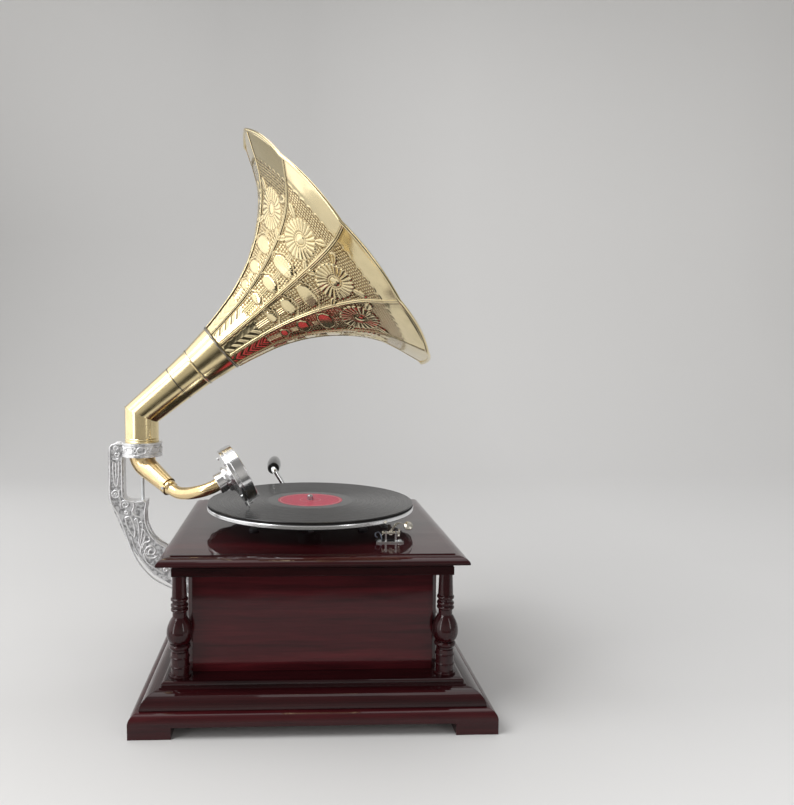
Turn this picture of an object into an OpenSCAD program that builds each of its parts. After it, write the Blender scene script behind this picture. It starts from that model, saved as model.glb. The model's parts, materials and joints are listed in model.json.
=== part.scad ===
/* [Cabinet] */
// Side of the square base board
base_w = 371.4; // [366:0.2:390]
// Thickness of the base board
base_t = 12; // [9:0.5:16]
// How far the top edge of the base board rounds inward
base_round = 8.5; // [3:0.5:9]
// Side of each square foot
foot_w = 43; // [34:1:52]
// Height of the feet
foot_h = 12; // [9:0.5:16]
// Side of the plinth moulding where it meets the base board
plinth_low_w = 352; // [345:0.5:354]
// Side of the plinth moulding at its top
plinth_top_w = 305; // [304:0.5:312]
// Height of the plinth moulding
plinth_h = 22; // [18:0.5:28]
// Side of the panelled box
body_w = 264; // [262:0.5:266]
// Height of the panels and pillars
body_h = 106.4; // [100:0.2:120]
// Thickness of the panels
panel_t = 10; // [8:0.5:12]
// Side of the frieze under the top board
frieze_w = 293.9; // [293:0.2:300]
// Height of the frieze
frieze_h = 14.1; // [11:0.1:18]
// Width of each frieze rail
frieze_rail = 26; // [22:0.5:30]
// Depth of the line cut along the frieze
line_d = 0.8; // [0.4:0.1:1.5]
// Side of the top board
top_w = 321.6; // [318:0.2:332]
// Thickness of the top board
top_t = 9.2; // [8:0.1:12]
// Width of the moulded edge of the top board
top_edge = 13.2; // [8:0.1:16]
// Diameter of the wood screws
wood_screw_d = 4; // [3:0.5:5]

/* [Pillars] */
// Distance of a pillar's axis out from the faces of the panels, along each side
pillar_out = 7.7; // [6.5:0.1:8.5]
// Largest radius of the turned bulb
bulb_r = 13.5; // [11:0.1:14]
// Radius of the plain neck at its top
neck_r = 7.1; // [5:0.1:7.2]
// Radius of the base ring
pillar_base_r = 11.5; // [10:0.1:12]

/* [Deck] */
// Radius of the record
record_r = 125; // [118:0.5:127]
// Thickness of the record
record_t = 1.8; // [1.4:0.1:2.4]
// Radius of the paper label
label_r = 39.5; // [30:0.5:45]
// Thickness of the paper label
label_t = 0.2; // [0.1:0.05:0.3]
// Thickness of the turntable felt
felt_t = 0.8; // [0.5:0.1:1.5]
// Radius of the turntable
table_r = 125.8; // [120:0.1:127]
// Height of the turntable's rim
rim_h = 5.8; // [4.5:0.1:8]
// Thickness of the turntable's steel
table_t = 2; // [1.5:0.1:2.5]
// Gap between the top board and the turntable's rim
table_gap = 19.8; // [18:0.1:24]
// Diameter of the spindle pin that holds the record
spindle_d = 7.1; // [7:0.05:7.2]
// Height of the spindle pin above the record
spindle_rise = 6.5; // [6:0.5:8]
// Diameter of the spindle shaft
shaft_d = 9; // [8:0.5:10]

/* [Motor] */
// Length of the motor plates
plate_x = 146; // [140:1:160]
// Width of the motor plates
plate_y = 142; // [138:1:150]
// Thickness of the motor plates
plate_t = 4; // [3:0.5:5]
// Height of the washers between the top board and the top plate
washer_h = 6; // [4:0.5:8]
// Clear height between the motor plates
plates_gap = 72.5; // [70:0.5:78]
// Diameter of the spacer pillars
spacer_d = 10; // [8:0.5:12]
// Diameter of the motor bolts
bolt_d = 6; // [5:0.5:7]
// Module of the barrel gear and its pinion
barrel_m = 1.25; // [1.2:0.01:1.28]
// Module of the spindle pinion and its wheel
wheel_m = 1; // [0.96:0.01:1.02]
// Play between meshing gear teeth
backlash = 0.3; // [0.2:0.05:0.4]
// Radius of the spring barrel
barrel_r = 34; // [30:0.5:34.5]
// Height of the spring barrel with its cover
barrel_h = 27; // [24:0.5:28]
// Wall of the spring barrel
barrel_wall = 2; // [1.5:0.1:2.5]
// Thickness of the mainspring band
spring_t = 1.2; // [0.8:0.1:1.5]
// Diameter of the winding arbor
arbor_d = 12; // [10:0.5:13]
// Module of the crown gear and the winding pinion
crown_m = 2; // [1.95:0.01:2.05]
// Radial length of the crown teeth
crown_face = 3.5; // [3:0.1:4]
// Radius of the governor worm at its thread tips
worm_r = 6; // [5.7:0.05:6.1]
// Distance of the three governor weights from the shaft
weight_at = 9.5; // [8.5:0.1:10]
// Radius of the friction disc
disc_r = 13; // [11:0.5:14]

/* [Crank] */
// Position of the winding shaft to the right of the middle
crank_x = 0; // [-2:0.5:2]
// Depth of the winding shaft below the top board
crank_drop = 34.7; // [33.5:0.1:36.5]
// Diameter of the winding shaft
winding_d = 9; // [8:0.5:9.5]
// Length of the crank arm
crank_l = 96.2; // [80:0.2:99]
// Angle of the crank arm from upright at rest
crank_a = 31.3; // [15:0.1:40]
// Clear distance from the back panel to the crank arm
crank_out = 50; // [49:0.5:60]
// Length of the handle
handle_l = 80; // [60:1:95]
// Largest radius of the handle
handle_r = 10.5; // [9:0.1:12]

/* [Bracket] */
// Distance from the left panel to the pivot axis
pivot_reach = 72.3; // [66:0.1:76]
// Outer diameter of the ring
ring_d = 48; // [47:0.5:52]
// Height of the ring
ring_h = 17; // [15:0.5:20]
// Height of the ring's underside above the floor
ring_z = 259; // [255:0.5:266]
// Height of the shelf that carries the pivot pin
shelf_z = 205; // [202:0.5:208]
// Thickness of the casting
cast_t = 15; // [12:0.5:18]
// Width of the foot plate
foot_plate_w = 46; // [38:1:52]
// Thickness of the foot plate
foot_plate_t = 8; // [6:0.5:10]
// Diameter of the pivot pin
pin_d = 4; // [3.5:0.1:5]

/* [Tone arm] */
// Angle of the arm toward the front at rest
arm_swing = 37.5; // [34:0.5:40]
// Outer radius of the arm's upright sleeve
sleeve_r = 16.5; // [15.5:0.1:17]
// Radius of the arm's bend under the ring, on its middle line
arm_bend = 19; // [18:0.5:22]
// Length of the arm from that bend to the pins
arm_l = 41; // [38:0.5:44]
// Outer radius of the swan neck
neck_tube_r = 7.2; // [6.8:0.1:7.4]
// Wall of the arm's tubes
tube_wall = 1.2; // [0.8:0.1:1.4]
// Radius of the ball at the swan neck's start
ball_r = 8.8; // [8.4:0.1:9.2]
// Diameter of the two pins that the swan neck lifts on
crook_pin_d = 2.2; // [1.8:0.1:2.4]
// Tilt of the sound box above level
box_tilt = 28; // [26:0.5:30]
// Turn of the sound box from the arm toward the record's middle
box_turn = 53; // [48:0.5:58]
// Radius of the sound box
box_r = 34; // [30:0.5:35]
// Thickness of the sound box's body
box_t = 12.4; // [9:0.1:13]
// Diameter of the needle
needle_d = 1.5; // [1.2:0.1:1.8]

/* [Horn] */
// Angle of the horn's axis above level
horn_tilt = 39.8; // [37:0.1:43]
// Outer radius of the elbow's upright tube
elbow_r = 20; // [19:0.1:20.4]
// Height of the elbow's mitre above the floor
mitre_z = 310; // [304:0.5:318]
// Wall of the horn's brass
horn_wall = 1; // [0.8:0.1:1.4]
// Radius of the mouth
mouth_r = 172; // [160:0.5:178]
// Length from the mitre to the mouth
horn_l = 304; // [290:1:316]
// Length from the mitre to the first seam
seam_1 = 59; // [54:0.5:64]
// Length from the mitre to the second seam
seam_2 = 90; // [84:0.5:96]
// Length from the mitre to the eleven petals
seam_3 = 126; // [122:0.5:132]
// Radius of the rolled wire at the mouth
wire_r = 1.8; // [1.4:0.1:2.2]

/* [Brake] */
// Position of the brake to the right of the middle
brake_x = 84; // [80:0.5:88]
// Distance of the brake's hinge rod in front of the middle
brake_y = 97; // [95:0.5:99]
// Height of the hinge rod above the top board
brake_rod_h = 10; // [9:0.1:12]
// Diameter of the thumb disc
thumb_d = 10; // [8:0.5:12]

/* [Clearances] */
// Radial play of a shaft in its hole
run = 0.05; // [0.03:0.01:0.08]
// Gap between faces that move past each other
gap = 0.3; // [0.25:0.05:0.4]

/* [Hidden] */
eps = 0.01;
joint = 0.05;
pa = 20;
base_half = base_w / 2;
body_half = body_w / 2;
frieze_half = frieze_w / 2;
top_half = top_w / 2;
base_z = foot_h;
plinth_z = base_z + base_t;
body_z = plinth_z + plinth_h;
frieze_z = body_z + body_h;
board_z = frieze_z + frieze_h;
deck_z = board_z + top_t;
crank_z = board_z - crank_drop;
plinth_half = plinth_low_w / 2;
plinth_top_half = plinth_top_w / 2;
plinth_in = body_half - panel_t - 4;
corner_cut = sqrt(2) * (bulb_r + gap * 2) - 2 * pillar_out;
// Heights of the deck
rim_z = deck_z + table_gap;
table_z = rim_z + rim_h;
record_z = table_z + felt_t;
groove_z = record_z + record_t;
spindle_hole = shaft_d + 7;
// Motor plates hang under the top board
top_plate_z = board_z - washer_h - plate_t;
low_plate_z = top_plate_z - plates_gap - plate_t;
gear_floor = low_plate_z + plate_t;
plate_at = [-3, 22];
post_at = [plate_x / 2 - 9, plate_y / 2 - 9];
// Teeth: counts divisible by four keep each mesh in step at every quarter turn
barrel_n = 60;
barrel_pinion_n = 12;
wheel_n = 48;
spindle_n = 16;
worm_wheel_n = 36;
worm_starts = 3;
crown_n = 24;
winding_n = 12;
barrel_xy = [crank_x, 50];
mesh_a = barrel_m * (barrel_n + barrel_pinion_n) / 2;
mesh_b = wheel_m * (wheel_n + spindle_n) / 2;
barrel_d = norm(barrel_xy);
along = (mesh_b * mesh_b - mesh_a * mesh_a + barrel_d * barrel_d) / (2 * barrel_d);
aside = sqrt(mesh_b * mesh_b - along * along);
toward = barrel_xy / barrel_d;
middle_xy = [toward[0] * along + toward[1] * aside, toward[1] * along - toward[0] * aside];
middle_dir = atan2(middle_xy[1], middle_xy[0]);
barrel_dir = atan2(barrel_xy[1] - middle_xy[1], barrel_xy[0] - middle_xy[0]);
wheel_z = top_plate_z - 5.5;
wheel_t = 3;
barrel_z = gear_floor + 2;
rim_gear_t = 5;
crown_r = crown_m * crown_n / 2;
winding_r = crown_m * winding_n / 2;
crown_pitch_z = crank_z + winding_r;
crown_tip = 1.8;
crown_root_z = crown_pitch_z + 2.5;
crown_disc_t = 3;
worm_z = gear_floor + 38;
worm_wheel_t = 5;
worm_wheel_r = wheel_m * worm_wheel_n / 2;
worm_pitch_r = worm_r - 1;
worm_y = -(worm_wheel_r + worm_pitch_r);
worm_l = 20;
governor_x0 = -68;
governor_x1 = 20;
disc_x = -20;
hub_x = -62;
spring_z0 = barrel_z + barrel_wall;
spring_h = barrel_h - 2 * barrel_wall - 2;
pad_xy = [disc_x + 1.5 + gap * 2, worm_y - 8];
lever_xy = [pad_xy[0] + 16, worm_y - 17];
// Winding shaft, along +Y
pinion_y = barrel_xy[1] + crown_r;
pinion_t = 8;
ratchet_y = pinion_y + pinion_t / 2 + 2;
ratchet_t = 4;
ratchet_r = 11;
ratchet_n = 12;
click_raise = 12;
bearing_y = ratchet_y + ratchet_t + 1;
bearing_t = 8;
pawl_at = [crank_x + 17, crank_z + 10];
crank_y = body_half + crank_out;
rod_r = 4;
crank_bend = 12;
handle_bend = 6;
handle_y = crank_y + handle_bend + gap;
crank_end = [crank_x - crank_l * sin(crank_a), crank_z + crank_l * cos(crank_a)];
// Bracket and tone arm
pivot_x = -body_half - pivot_reach;
spine_out = 39.2;
plate_low = body_z + 34;
plate_h = 72;
plate_edge = 12;
spine_w = 17.7;
socket_z = ring_z + 7;
pin_top = ring_z - 25.1;
cup_r = ball_r + gap;
cup_a = 28;
bend_z = ring_z + 2.6;
crook_x = arm_bend * (1 - sin(cup_a)) + arm_l * cos(cup_a);
crook_z = bend_z - arm_bend * cos(cup_a) - arm_l * sin(cup_a);
box_x = 122.6;
box_y = 24.1;
box_z = groove_z + 38.1;
box_back_t = 2.4;
box_y0 = 3.2;
disc_bore = box_r - 6.4;
disc_z = box_back_t + 2.6;
sleeve_l = 18;
chuck_x = box_r + 4;
needle_tip = (box_z - groove_z - gap) / cos(box_tilt) + 1.5 * tan(box_tilt);
// Horn
petal_n = 11;
lean = -10.2;
spigot_r = 21;
crank_tip = handle_y + handle_l;
wide_half = max(base_half, mouth_r + 2 * wire_r);
mid_x = (pivot_x - spine_out + base_half) / 2;
mid_y = (crank_tip - wide_half) / 2;
brake_ear = 11;
brake_z = deck_z + brake_rod_h;

function lerp(a, b, t) = a + (b - a) * t;
function arc(c, rx, ry, a0, a1, n) =
  [for (i = [0:n]) c + [rx * cos(lerp(a0, a1, i / n)), ry * sin(lerp(a0, a1, i / n))]];
function bezier(a, b, c, d, n) =
  [for (i = [0:n]) let (t = i / n, u = 1 - t)
    u * u * u * a + 3 * u * u * t * b + 3 * u * t * t * c + t * t * t * d];
function flip(points) = [for (i = [len(points) - 2:-1:1]) [-points[i][0], points[i][1]]];
// Smooth curve through the given points, with n steps between each pair
function catmull(p, i, t) =
  let (a = p[max(i - 1, 0)], b = p[i], c = p[i + 1], d = p[min(i + 2, len(p) - 1)])
  0.5 * (2 * b + (c - a) * t + (2 * a - 5 * b + 4 * c - d) * t * t + (3 * b - a - 3 * c + d) * t * t * t);
function smooth(p, n) =
  concat([for (i = [0:len(p) - 2]) for (k = [0:n - 1]) catmull(p, i, k / n)], [p[len(p) - 1]]);

// Moves a piece from the cabinet's frame to the part's frame
module placed() translate([-mid_x, -mid_y, 0]) children();

module bar(half, length) {
  rotate([90, 0, 0])
    linear_extrude(length, center = true)
      polygon(concat(half, flip(half)));
}

// Square block whose four sides all have the moulded outline
module moulded(half, size) {
  intersection() {
    bar(half, size + 1);
    rotate(90) bar(half, size + 1);
  }
}

// Four mitred rails, each a solid of its own
module rails(half, size, inside, z0, z1) {
  for (side = [0:3])
    intersection() {
      difference() {
        moulded(half, size);
        translate([-inside, -inside, z0 - 1]) cube([2 * inside, 2 * inside, z1 - z0 + 2]);
      }
      rotate(side * 90)
        translate([0, 0, z0 - 1])
          linear_extrude(z1 - z0 + 2)
            polygon([[joint, 0], [size, joint - size], [size, size - joint]]);
    }
}

module corners(at) {
  for (x = [-1, 1])
    for (y = [-1, 1])
      translate([x * at, y * at, 0]) children();
}

// Domed head of a screw, resting on the plane z = 0
module dome(r, h) {
  rotate_extrude($fn = 32) polygon(concat([[0, 0]], arc([0, 0], r, h, 0, 90, 6)));
}

screw_at = plinth_in + (plinth_top_half - plinth_in) / 2;
screw_places = [for (u = [-90, 90]) for (v = [-1, 1]) for (p = [[u, v * screw_at], [v * screw_at, u]]) p];

module feet() {
  color("#3a1116")
    placed()
      corners(base_half - foot_w / 2)
        translate([0, 0, foot_h / 2]) cube([foot_w, foot_w, foot_h], center = true);
}

module base_board() {
  half = concat(
    [[0, base_z], [base_half, base_z]],
    arc([base_half - base_round, base_z + base_t * 0.25], base_round, base_t * 0.75, 0, 90, 8),
    [[0, plinth_z]]);
  color("#3f1218")
    placed()
      difference() {
        moulded(half, base_w);
        for (p = screw_places)
          translate([p[0], p[1], base_z - 1]) {
            cylinder(h = base_t + 2, d = wood_screw_d + 2 * run, $fn = 24);
            cylinder(h = 3.7, r = 4.4, $fn = 32);
          }
      }
}

module base_moulding() {
  ovolo_w = (plinth_half - plinth_top_half) * 0.74;
  ovolo_h = plinth_h * 0.7;
  step = (plinth_half - plinth_top_half - ovolo_w) / 3;
  bead_x = plinth_half - ovolo_w - step;
  half = concat(
    [[0, plinth_z], [plinth_half, plinth_z]],
    arc([plinth_half - ovolo_w, plinth_z + 1], ovolo_w, ovolo_h - 1, 0, 90, 10),
    [[plinth_half - ovolo_w, plinth_z + ovolo_h + 1.2], [bead_x, plinth_z + ovolo_h + 1.2]],
    arc([bead_x - 2 * step, body_z - 2.6], 2 * step, 2.6, 0, 90, 6),
    [[0, body_z]]);
  color("#3f1218")
    placed()
      difference() {
        rails(half, plinth_low_w, plinth_in, plinth_z, body_z);
        for (p = screw_places)
          translate([p[0], p[1], plinth_z - 1])
            cylinder(h = plinth_h - 5, d = wood_screw_d + 2 * run, $fn = 24);
      }
}

// Countersunk screws under the base, and domed ones in the bracket's and the brake's feet
module wood_screws() {
  color("#c9c4b4")
    placed() {
      for (p = screw_places)
        translate([p[0], p[1], base_z + 0.2]) {
          cylinder(h = base_t + plinth_h - 8, d = wood_screw_d, $fn = 24);
          cylinder(h = 2.5, r1 = 4, r2 = wood_screw_d / 2, $fn = 32);
        }
      bracket_screw_places()
        rotate([0, -90, 0])
          difference() {
            union() {
              translate([0, 0, 0.5 - panel_t])
                cylinder(h = panel_t + foot_plate_t, d = wood_screw_d, $fn = 24);
              translate([0, 0, foot_plate_t]) dome(4, 2.4);
            }
            translate([-5, -0.5, foot_plate_t + 1.2]) cube([10, 1, 4]);
          }
      brake_screw_places()
        difference() {
          union() {
            translate([0, 0, -5.5]) cylinder(h = 7.2, d = 3, $fn = 24);
            translate([0, 0, 1.6]) dome(2.8, 1.7);
          }
          translate([-4, -0.4, 2.5]) cube([8, 0.8, 4]);
        }
    }
}

// Panels meet at corners that are cut back to clear the pillars
module body_plan() {
  polygon([for (q = [0:3]) for (p = [[body_half, -body_half + corner_cut],
    [body_half, body_half - corner_cut]])
    [p[0] * cos(90 * q) - p[1] * sin(90 * q), p[0] * sin(90 * q) + p[1] * cos(90 * q)]]);
}

module panel_block(y) {
  translate([0, 0, body_z])
    linear_extrude(body_h)
      intersection() {
        body_plan();
        translate([-body_half, y]) square([body_w, panel_t]);
      }
}

module front_panel() {
  color("#4a0f18") placed() panel_block(-body_half);
}

module back_panel() {
  color("#4a0f18")
    placed()
      difference() {
        panel_block(body_half - panel_t);
        translate([crank_x, body_half, crank_z])
          rotate([90, 0, 0]) cylinder(h = 4 * panel_t, d = winding_d + 4, center = true, $fn = 48);
      }
}

module side_block(x) {
  translate([x, -body_half + panel_t, body_z]) cube([panel_t, body_w - 2 * panel_t, body_h]);
}

module side_panels() {
  color("#4a0f18")
    placed()
      difference() {
        union() {
          side_block(-body_half);
          side_block(body_half - panel_t);
        }
        bracket_screw_places()
          rotate([0, 90, 0])
            cylinder(h = 60, d = wood_screw_d + 2 * run, center = true, $fn = 24);
      }
}

// Turned outline: base rings, torus, vase bulb, three beads and a plain neck
module corner_pillars() {
  waist = neck_r + 1;
  low_r = pillar_base_r - 2;
  top = body_h;
  outline = concat(
    [[0, 0], [pillar_base_r, 0], [pillar_base_r, 1.9], [low_r, 1.9], [low_r, 9.8]],
    arc([low_r, 10.6], 0.9, 0.8, -90, 90, 4),
    [[low_r, 19.6]],
    arc([low_r, 20.4], 0.9, 0.8, -90, 90, 4),
    [[low_r - 0.3, 25.8], [waist, 26.4], [waist, 28.6]],
    arc([pillar_base_r - 2.6, 31.6], 2.4, 2.8, -90, 90, 8),
    bezier([pillar_base_r - 2.2, 34.6], [bulb_r + 1.6, 39.5], [bulb_r + 2.2, 52], [neck_r + 0.2, 63], 14),
    [[neck_r + 0.2, 68.4]],
    arc([neck_r + 0.4, 70.6], 1.6, 1.9, -90, 90, 6),
    arc([neck_r + 0.4, 75.2], 1.6, 1.9, -90, 90, 6),
    arc([neck_r + 0.4, 81.6], 1.6, 1.9, -90, 90, 6),
    [[neck_r + 0.8, 84], [neck_r, top], [0, top]]);
  color("#2a0c10")
    placed()
      corners(body_half + pillar_out)
        translate([0, 0, body_z]) rotate_extrude($fn = 48) polygon(outline);
}

module frieze() {
  mid = frieze_z + frieze_h * 0.62;
  half = [[0, frieze_z], [frieze_half - 0.6, frieze_z], [frieze_half, frieze_z + 0.6], [frieze_half, mid],
    [frieze_half - line_d, mid + 0.3], [frieze_half - line_d, mid + 1.3], [frieze_half, mid + 1.6],
    [frieze_half, board_z], [0, board_z]];
  color("#3f1218")
    placed() rails(half, frieze_w, frieze_half - frieze_rail, frieze_z, board_z);
}

module top_board() {
  inner = top_half - top_edge;
  half = concat(
    [[0, board_z], [top_half - 0.6, board_z], [top_half, board_z + 0.8]],
    arc([inner, board_z + 1.6], top_edge, top_t - 2.8, 0, 90, 10),
    [[inner, deck_z], [0, deck_z]]);
  color("#3f1218")
    placed()
      difference() {
        moulded(half, top_w);
        translate([0, 0, board_z - 1]) cylinder(h = top_t + 2, d = spindle_hole, $fn = 64);
        motor_posts() translate([0, 0, board_z - 1]) cylinder(h = top_t + 2, d = bolt_d + 0.4, $fn = 32);
        brake_screw_places() translate([0, 0, -6]) cylinder(h = 8, d = 3 + 2 * run, $fn = 24);
      }
}

// Motor
module motor_posts() {
  for (x = [-1, 1])
    for (y = [-1, 1])
      translate([plate_at[0] + x * post_at[0], plate_at[1] + y * post_at[1], 0]) children();
}

module motor_plate(z, holes) {
  translate([0, 0, z])
    difference() {
      translate([plate_at[0] - plate_x / 2, plate_at[1] - plate_y / 2, 0]) cube([plate_x, plate_y, plate_t]);
      for (h = holes)
        translate([h[0], h[1], -1]) cylinder(h = plate_t + 2, d = h[2] + 2 * run, $fn = 48);
      motor_posts() translate([0, 0, -1]) cylinder(h = plate_t + 2, d = bolt_d + 2 * run, $fn = 32);
    }
}

module motor_plates() {
  top = [[0, 0, shaft_d], [middle_xy[0], middle_xy[1], 6], [barrel_xy[0], barrel_xy[1], arbor_d - 3]];
  low = [[0, 0, shaft_d - 3], [middle_xy[0], middle_xy[1], 6], [barrel_xy[0], barrel_xy[1], arbor_d - 3]];
  color("#8d9094")
    placed() {
      motor_plate(top_plate_z, top);
      motor_plate(low_plate_z, low);
      translate([lever_xy[0], lever_xy[1], low_plate_z + 1]) cylinder(h = plate_t + 5, d = 4, $fn = 32);
    }
}

module motor_pillars() {
  color("#b8a05a")
    placed()
      motor_posts()
        translate([0, 0, gear_floor])
          difference() {
            cylinder(h = plates_gap, d = spacer_d, $fn = 32);
            translate([0, 0, -1]) cylinder(h = plates_gap + 2, d = bolt_d + 2 * run, $fn = 32);
          }
}

module motor_washers() {
  color("#222222")
    placed()
      motor_posts()
        translate([0, 0, board_z - washer_h])
          difference() {
            cylinder(h = washer_h, d = spacer_d + 6, $fn = 32);
            translate([0, 0, -1]) cylinder(h = washer_h + 2, d = bolt_d + 2 * run, $fn = 32);
          }
}

// Long bolts run from the deck through both plates, with a nut under the bottom plate
module motor_bolts() {
  color("silver")
    placed()
      motor_posts() {
        translate([0, 0, low_plate_z - 6]) cylinder(h = deck_z - low_plate_z + 6, d = bolt_d, $fn = 32);
        translate([0, 0, deck_z])
          difference() {
            cylinder(h = 2.6, d = bolt_d * 1.9, $fn = 32);
            translate([-bolt_d, -0.6, 1.4]) cube([2 * bolt_d, 1.2, 2]);
          }
        translate([0, 0, low_plate_z - 5]) cylinder(h = 5, d = bolt_d * 1.9, $fn = 6);
      }
}

function inv(a) = tan(a) * 180 / PI - a;
// Involute spur outline with play taken off both flanks
function tooth_angle(n, m, rho) =
  let (r = m * n / 2, half = 90 / n - backlash * 90 / (PI * r) / 2)
  half + inv(pa) - inv(acos(min(1, r * cos(pa) / rho)));
function gear_points(n, m) =
  let (r = m * n / 2, low = max(r * cos(pa), r - 1.25 * m), root = r - 1.25 * m, tip = r + 0.95 * m)
  [for (i = [0:n - 1])
    for (s = [[root, -1, low], [low, -1, low], [lerp(low, tip, 0.5), -1, lerp(low, tip, 0.5)], [tip, -1, tip],
              [tip, 1, tip], [lerp(low, tip, 0.5), 1, lerp(low, tip, 0.5)], [low, 1, low], [root, 1, low]])
      let (a = i * 360 / n + s[1] * tooth_angle(n, m, s[2]))
      [s[0] * cos(a), s[0] * sin(a)]];

module gear(n, m, t, turn) {
  rotate(turn) linear_extrude(t) polygon(gear_points(n, m));
}

module spring_barrel() {
  color("#b5974a")
    placed()
      translate([barrel_xy[0], barrel_xy[1], barrel_z])
        difference() {
          union() {
            cylinder(h = barrel_h - barrel_wall, r = barrel_r, $fn = 96);
            gear(barrel_n, barrel_m, rim_gear_t, barrel_dir + 180 + 180 / barrel_n);
          }
          translate([0, 0, barrel_wall]) cylinder(h = barrel_h, r = barrel_r - barrel_wall, $fn = 96);
          translate([0, 0, -1]) cylinder(h = barrel_h, d = arbor_d + 2 * run, $fn = 48);
        }
}

module barrel_cover() {
  color("#c9a94f")
    placed()
      translate([barrel_xy[0], barrel_xy[1], barrel_z + barrel_h - barrel_wall])
        difference() {
          cylinder(h = barrel_wall, r = barrel_r, $fn = 96);
          translate([0, 0, -1]) cylinder(h = barrel_wall + 2, d = arbor_d + 2 * run, $fn = 48);
        }
}

// Spiral band from the barrel's wall inward
module mainspring() {
  turns = 6;
  steps = 30;
  r0 = arbor_d / 2 + 2;
  r1 = barrel_r - barrel_wall - spring_t - gap;
  spiral = [for (i = [0:turns * steps]) let (a = i * 360 / steps, r = lerp(r0, r1, i / turns / steps))
    [r, a]];
  inner = [for (p = spiral) [p[0] * cos(p[1]), p[0] * sin(p[1])]];
  outer = [for (i = [len(spiral) - 1:-1:0]) let (p = spiral[i]) (p[0] + spring_t) * [cos(p[1]), sin(p[1])]];
  color("#5b6470")
    placed()
      translate([barrel_xy[0], barrel_xy[1], spring_z0])
        linear_extrude(spring_h) polygon(concat(inner, outer));
}

// Arbor with the crown gear whose teeth point down at the winding pinion
module winding_arbor() {
  pitch_w = PI * crown_m / 2 - 0.9;
  slope = tan(pa);
  deep = crown_root_z - crown_pitch_z;
  color("#9aa0a6")
    placed()
      translate([barrel_xy[0], barrel_xy[1], 0]) {
        translate([0, 0, gear_floor + gap])
          cylinder(h = crown_root_z + crown_disc_t - gear_floor - gap, d = arbor_d, $fn = 48);
        translate([0, 0, low_plate_z])
          cylinder(h = top_plate_z + plate_t - low_plate_z, d = arbor_d - 3, $fn = 48);
        translate([0, 0, crown_root_z]) cylinder(h = crown_disc_t, r = crown_r + crown_face / 2, $fn = 96);
        for (i = [0:crown_n - 1])
          rotate(90 + (i + 0.5) * 360 / crown_n)
            translate([crown_r - crown_face / 2, 0, crown_pitch_z])
              rotate([90, 0, 90])
                linear_extrude(crown_face)
                  polygon([[-pitch_w / 2 - deep * slope, deep + eps],
                    [-pitch_w / 2 + crown_tip * slope, -crown_tip],
                    [pitch_w / 2 - crown_tip * slope, -crown_tip], [pitch_w / 2 + deep * slope, deep + eps]]);
      }
}

module intermediate_wheel() {
  color("#c2a04a")
    placed()
      translate([middle_xy[0], middle_xy[1], 0]) {
        translate([0, 0, low_plate_z]) cylinder(h = top_plate_z + plate_t - low_plate_z, d = 6, $fn = 32);
        translate([0, 0, wheel_z]) gear(wheel_n, wheel_m, wheel_t, middle_dir + 180 + 180 / wheel_n);
        translate([0, 0, barrel_z - 1.5]) gear(barrel_pinion_n, barrel_m, rim_gear_t + 4, barrel_dir);
      }
}

module spindle() {
  neck = table_z - 10;
  color("#b9bcc2")
    placed() {
      translate([0, 0, low_plate_z]) cylinder(h = 20, d = shaft_d - 3, $fn = 48);
      translate([0, 0, gear_floor + gap]) cylinder(h = neck - gear_floor - gap, d = shaft_d, $fn = 48);
      translate([0, 0, neck - eps]) cylinder(h = table_z - neck, d = shaft_d - 0.5, $fn = 48);
      translate([0, 0, table_z - 0.5])
        rotate_extrude($fn = 48)
          polygon(concat([[0, 0], [spindle_d / 2 + 0.2, 0], [spindle_d / 2 + 0.2, groove_z - table_z + 0.5],
            [spindle_d / 2, groove_z - table_z + 0.5]],
            arc([spindle_d / 2 - 2, groove_z + spindle_rise - table_z - 1.5], 2, 2, 0, 90, 6),
            [[0, groove_z + spindle_rise - table_z + 0.5]]));
      translate([0, 0, wheel_z - 1]) gear(spindle_n, wheel_m, wheel_t + 2, middle_dir);
    }
}

// Helical teeth that follow the worm's thread
worm_lead = worm_starts * PI * wheel_m;
lead_a = atan(worm_lead / (2 * PI * worm_pitch_r));
module worm_wheel() {
  twist = worm_wheel_t * tan(lead_a) / worm_wheel_r * 180 / PI;
  color("#c2a04a")
    placed()
      difference() {
        translate([0, 0, worm_z])
          rotate(-90 + 180 / worm_wheel_n + twist / 2)
            linear_extrude(worm_wheel_t, center = true, twist = twist, slices = 3)
              polygon(gear_points(worm_wheel_n, wheel_m));
        cylinder(h = worm_z + 20, d = shaft_d + 2 * run, $fn = 48);
      }
}

// Along X at the given place on the governor's axis
module on_governor(x) translate([x, worm_y, worm_z]) rotate([0, 90, 0]) children();

module governor_shaft() {
  root_r = worm_r - 2.1;
  color("#b9bcc2")
    placed() {
      on_governor(governor_x0 - 6) cylinder(h = governor_x1 - governor_x0 + 12, d = 4, $fn = 32);
      on_governor(-worm_l / 2)
        linear_extrude(worm_l, twist = 360 * worm_l / worm_lead, slices = 48)
          polygon([for (i = [0:47])
            let (a = i * 7.5 + 90 + 180 * worm_l / worm_lead, w = cos(worm_starts * i * 7.5),
              r = lerp(root_r, worm_r, max(0, min(1, 0.5 + 1.1 * (w - 0.35)))))
            [r * cos(a), r * sin(a)]]);
    }
}

// Fixed collar, and the sliding collar with the friction disc
module friction_disc() {
  color("#c9a94f")
    placed() {
      on_governor(hub_x)
        difference() {
          cylinder(h = 5, r = 5, $fn = 32);
          translate([0, 0, -1]) cylinder(h = 7, d = 4 + 2 * run, $fn = 32);
        }
      on_governor(disc_x)
        difference() {
          union() {
            cylinder(h = 1.5, r = disc_r, $fn = 64);
            translate([0, 0, -7]) cylinder(h = 7.1, r = 5, $fn = 32);
          }
          translate([0, 0, -8]) cylinder(h = 12, d = 4 + 2 * run, $fn = 32);
        }
    }
}

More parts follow.
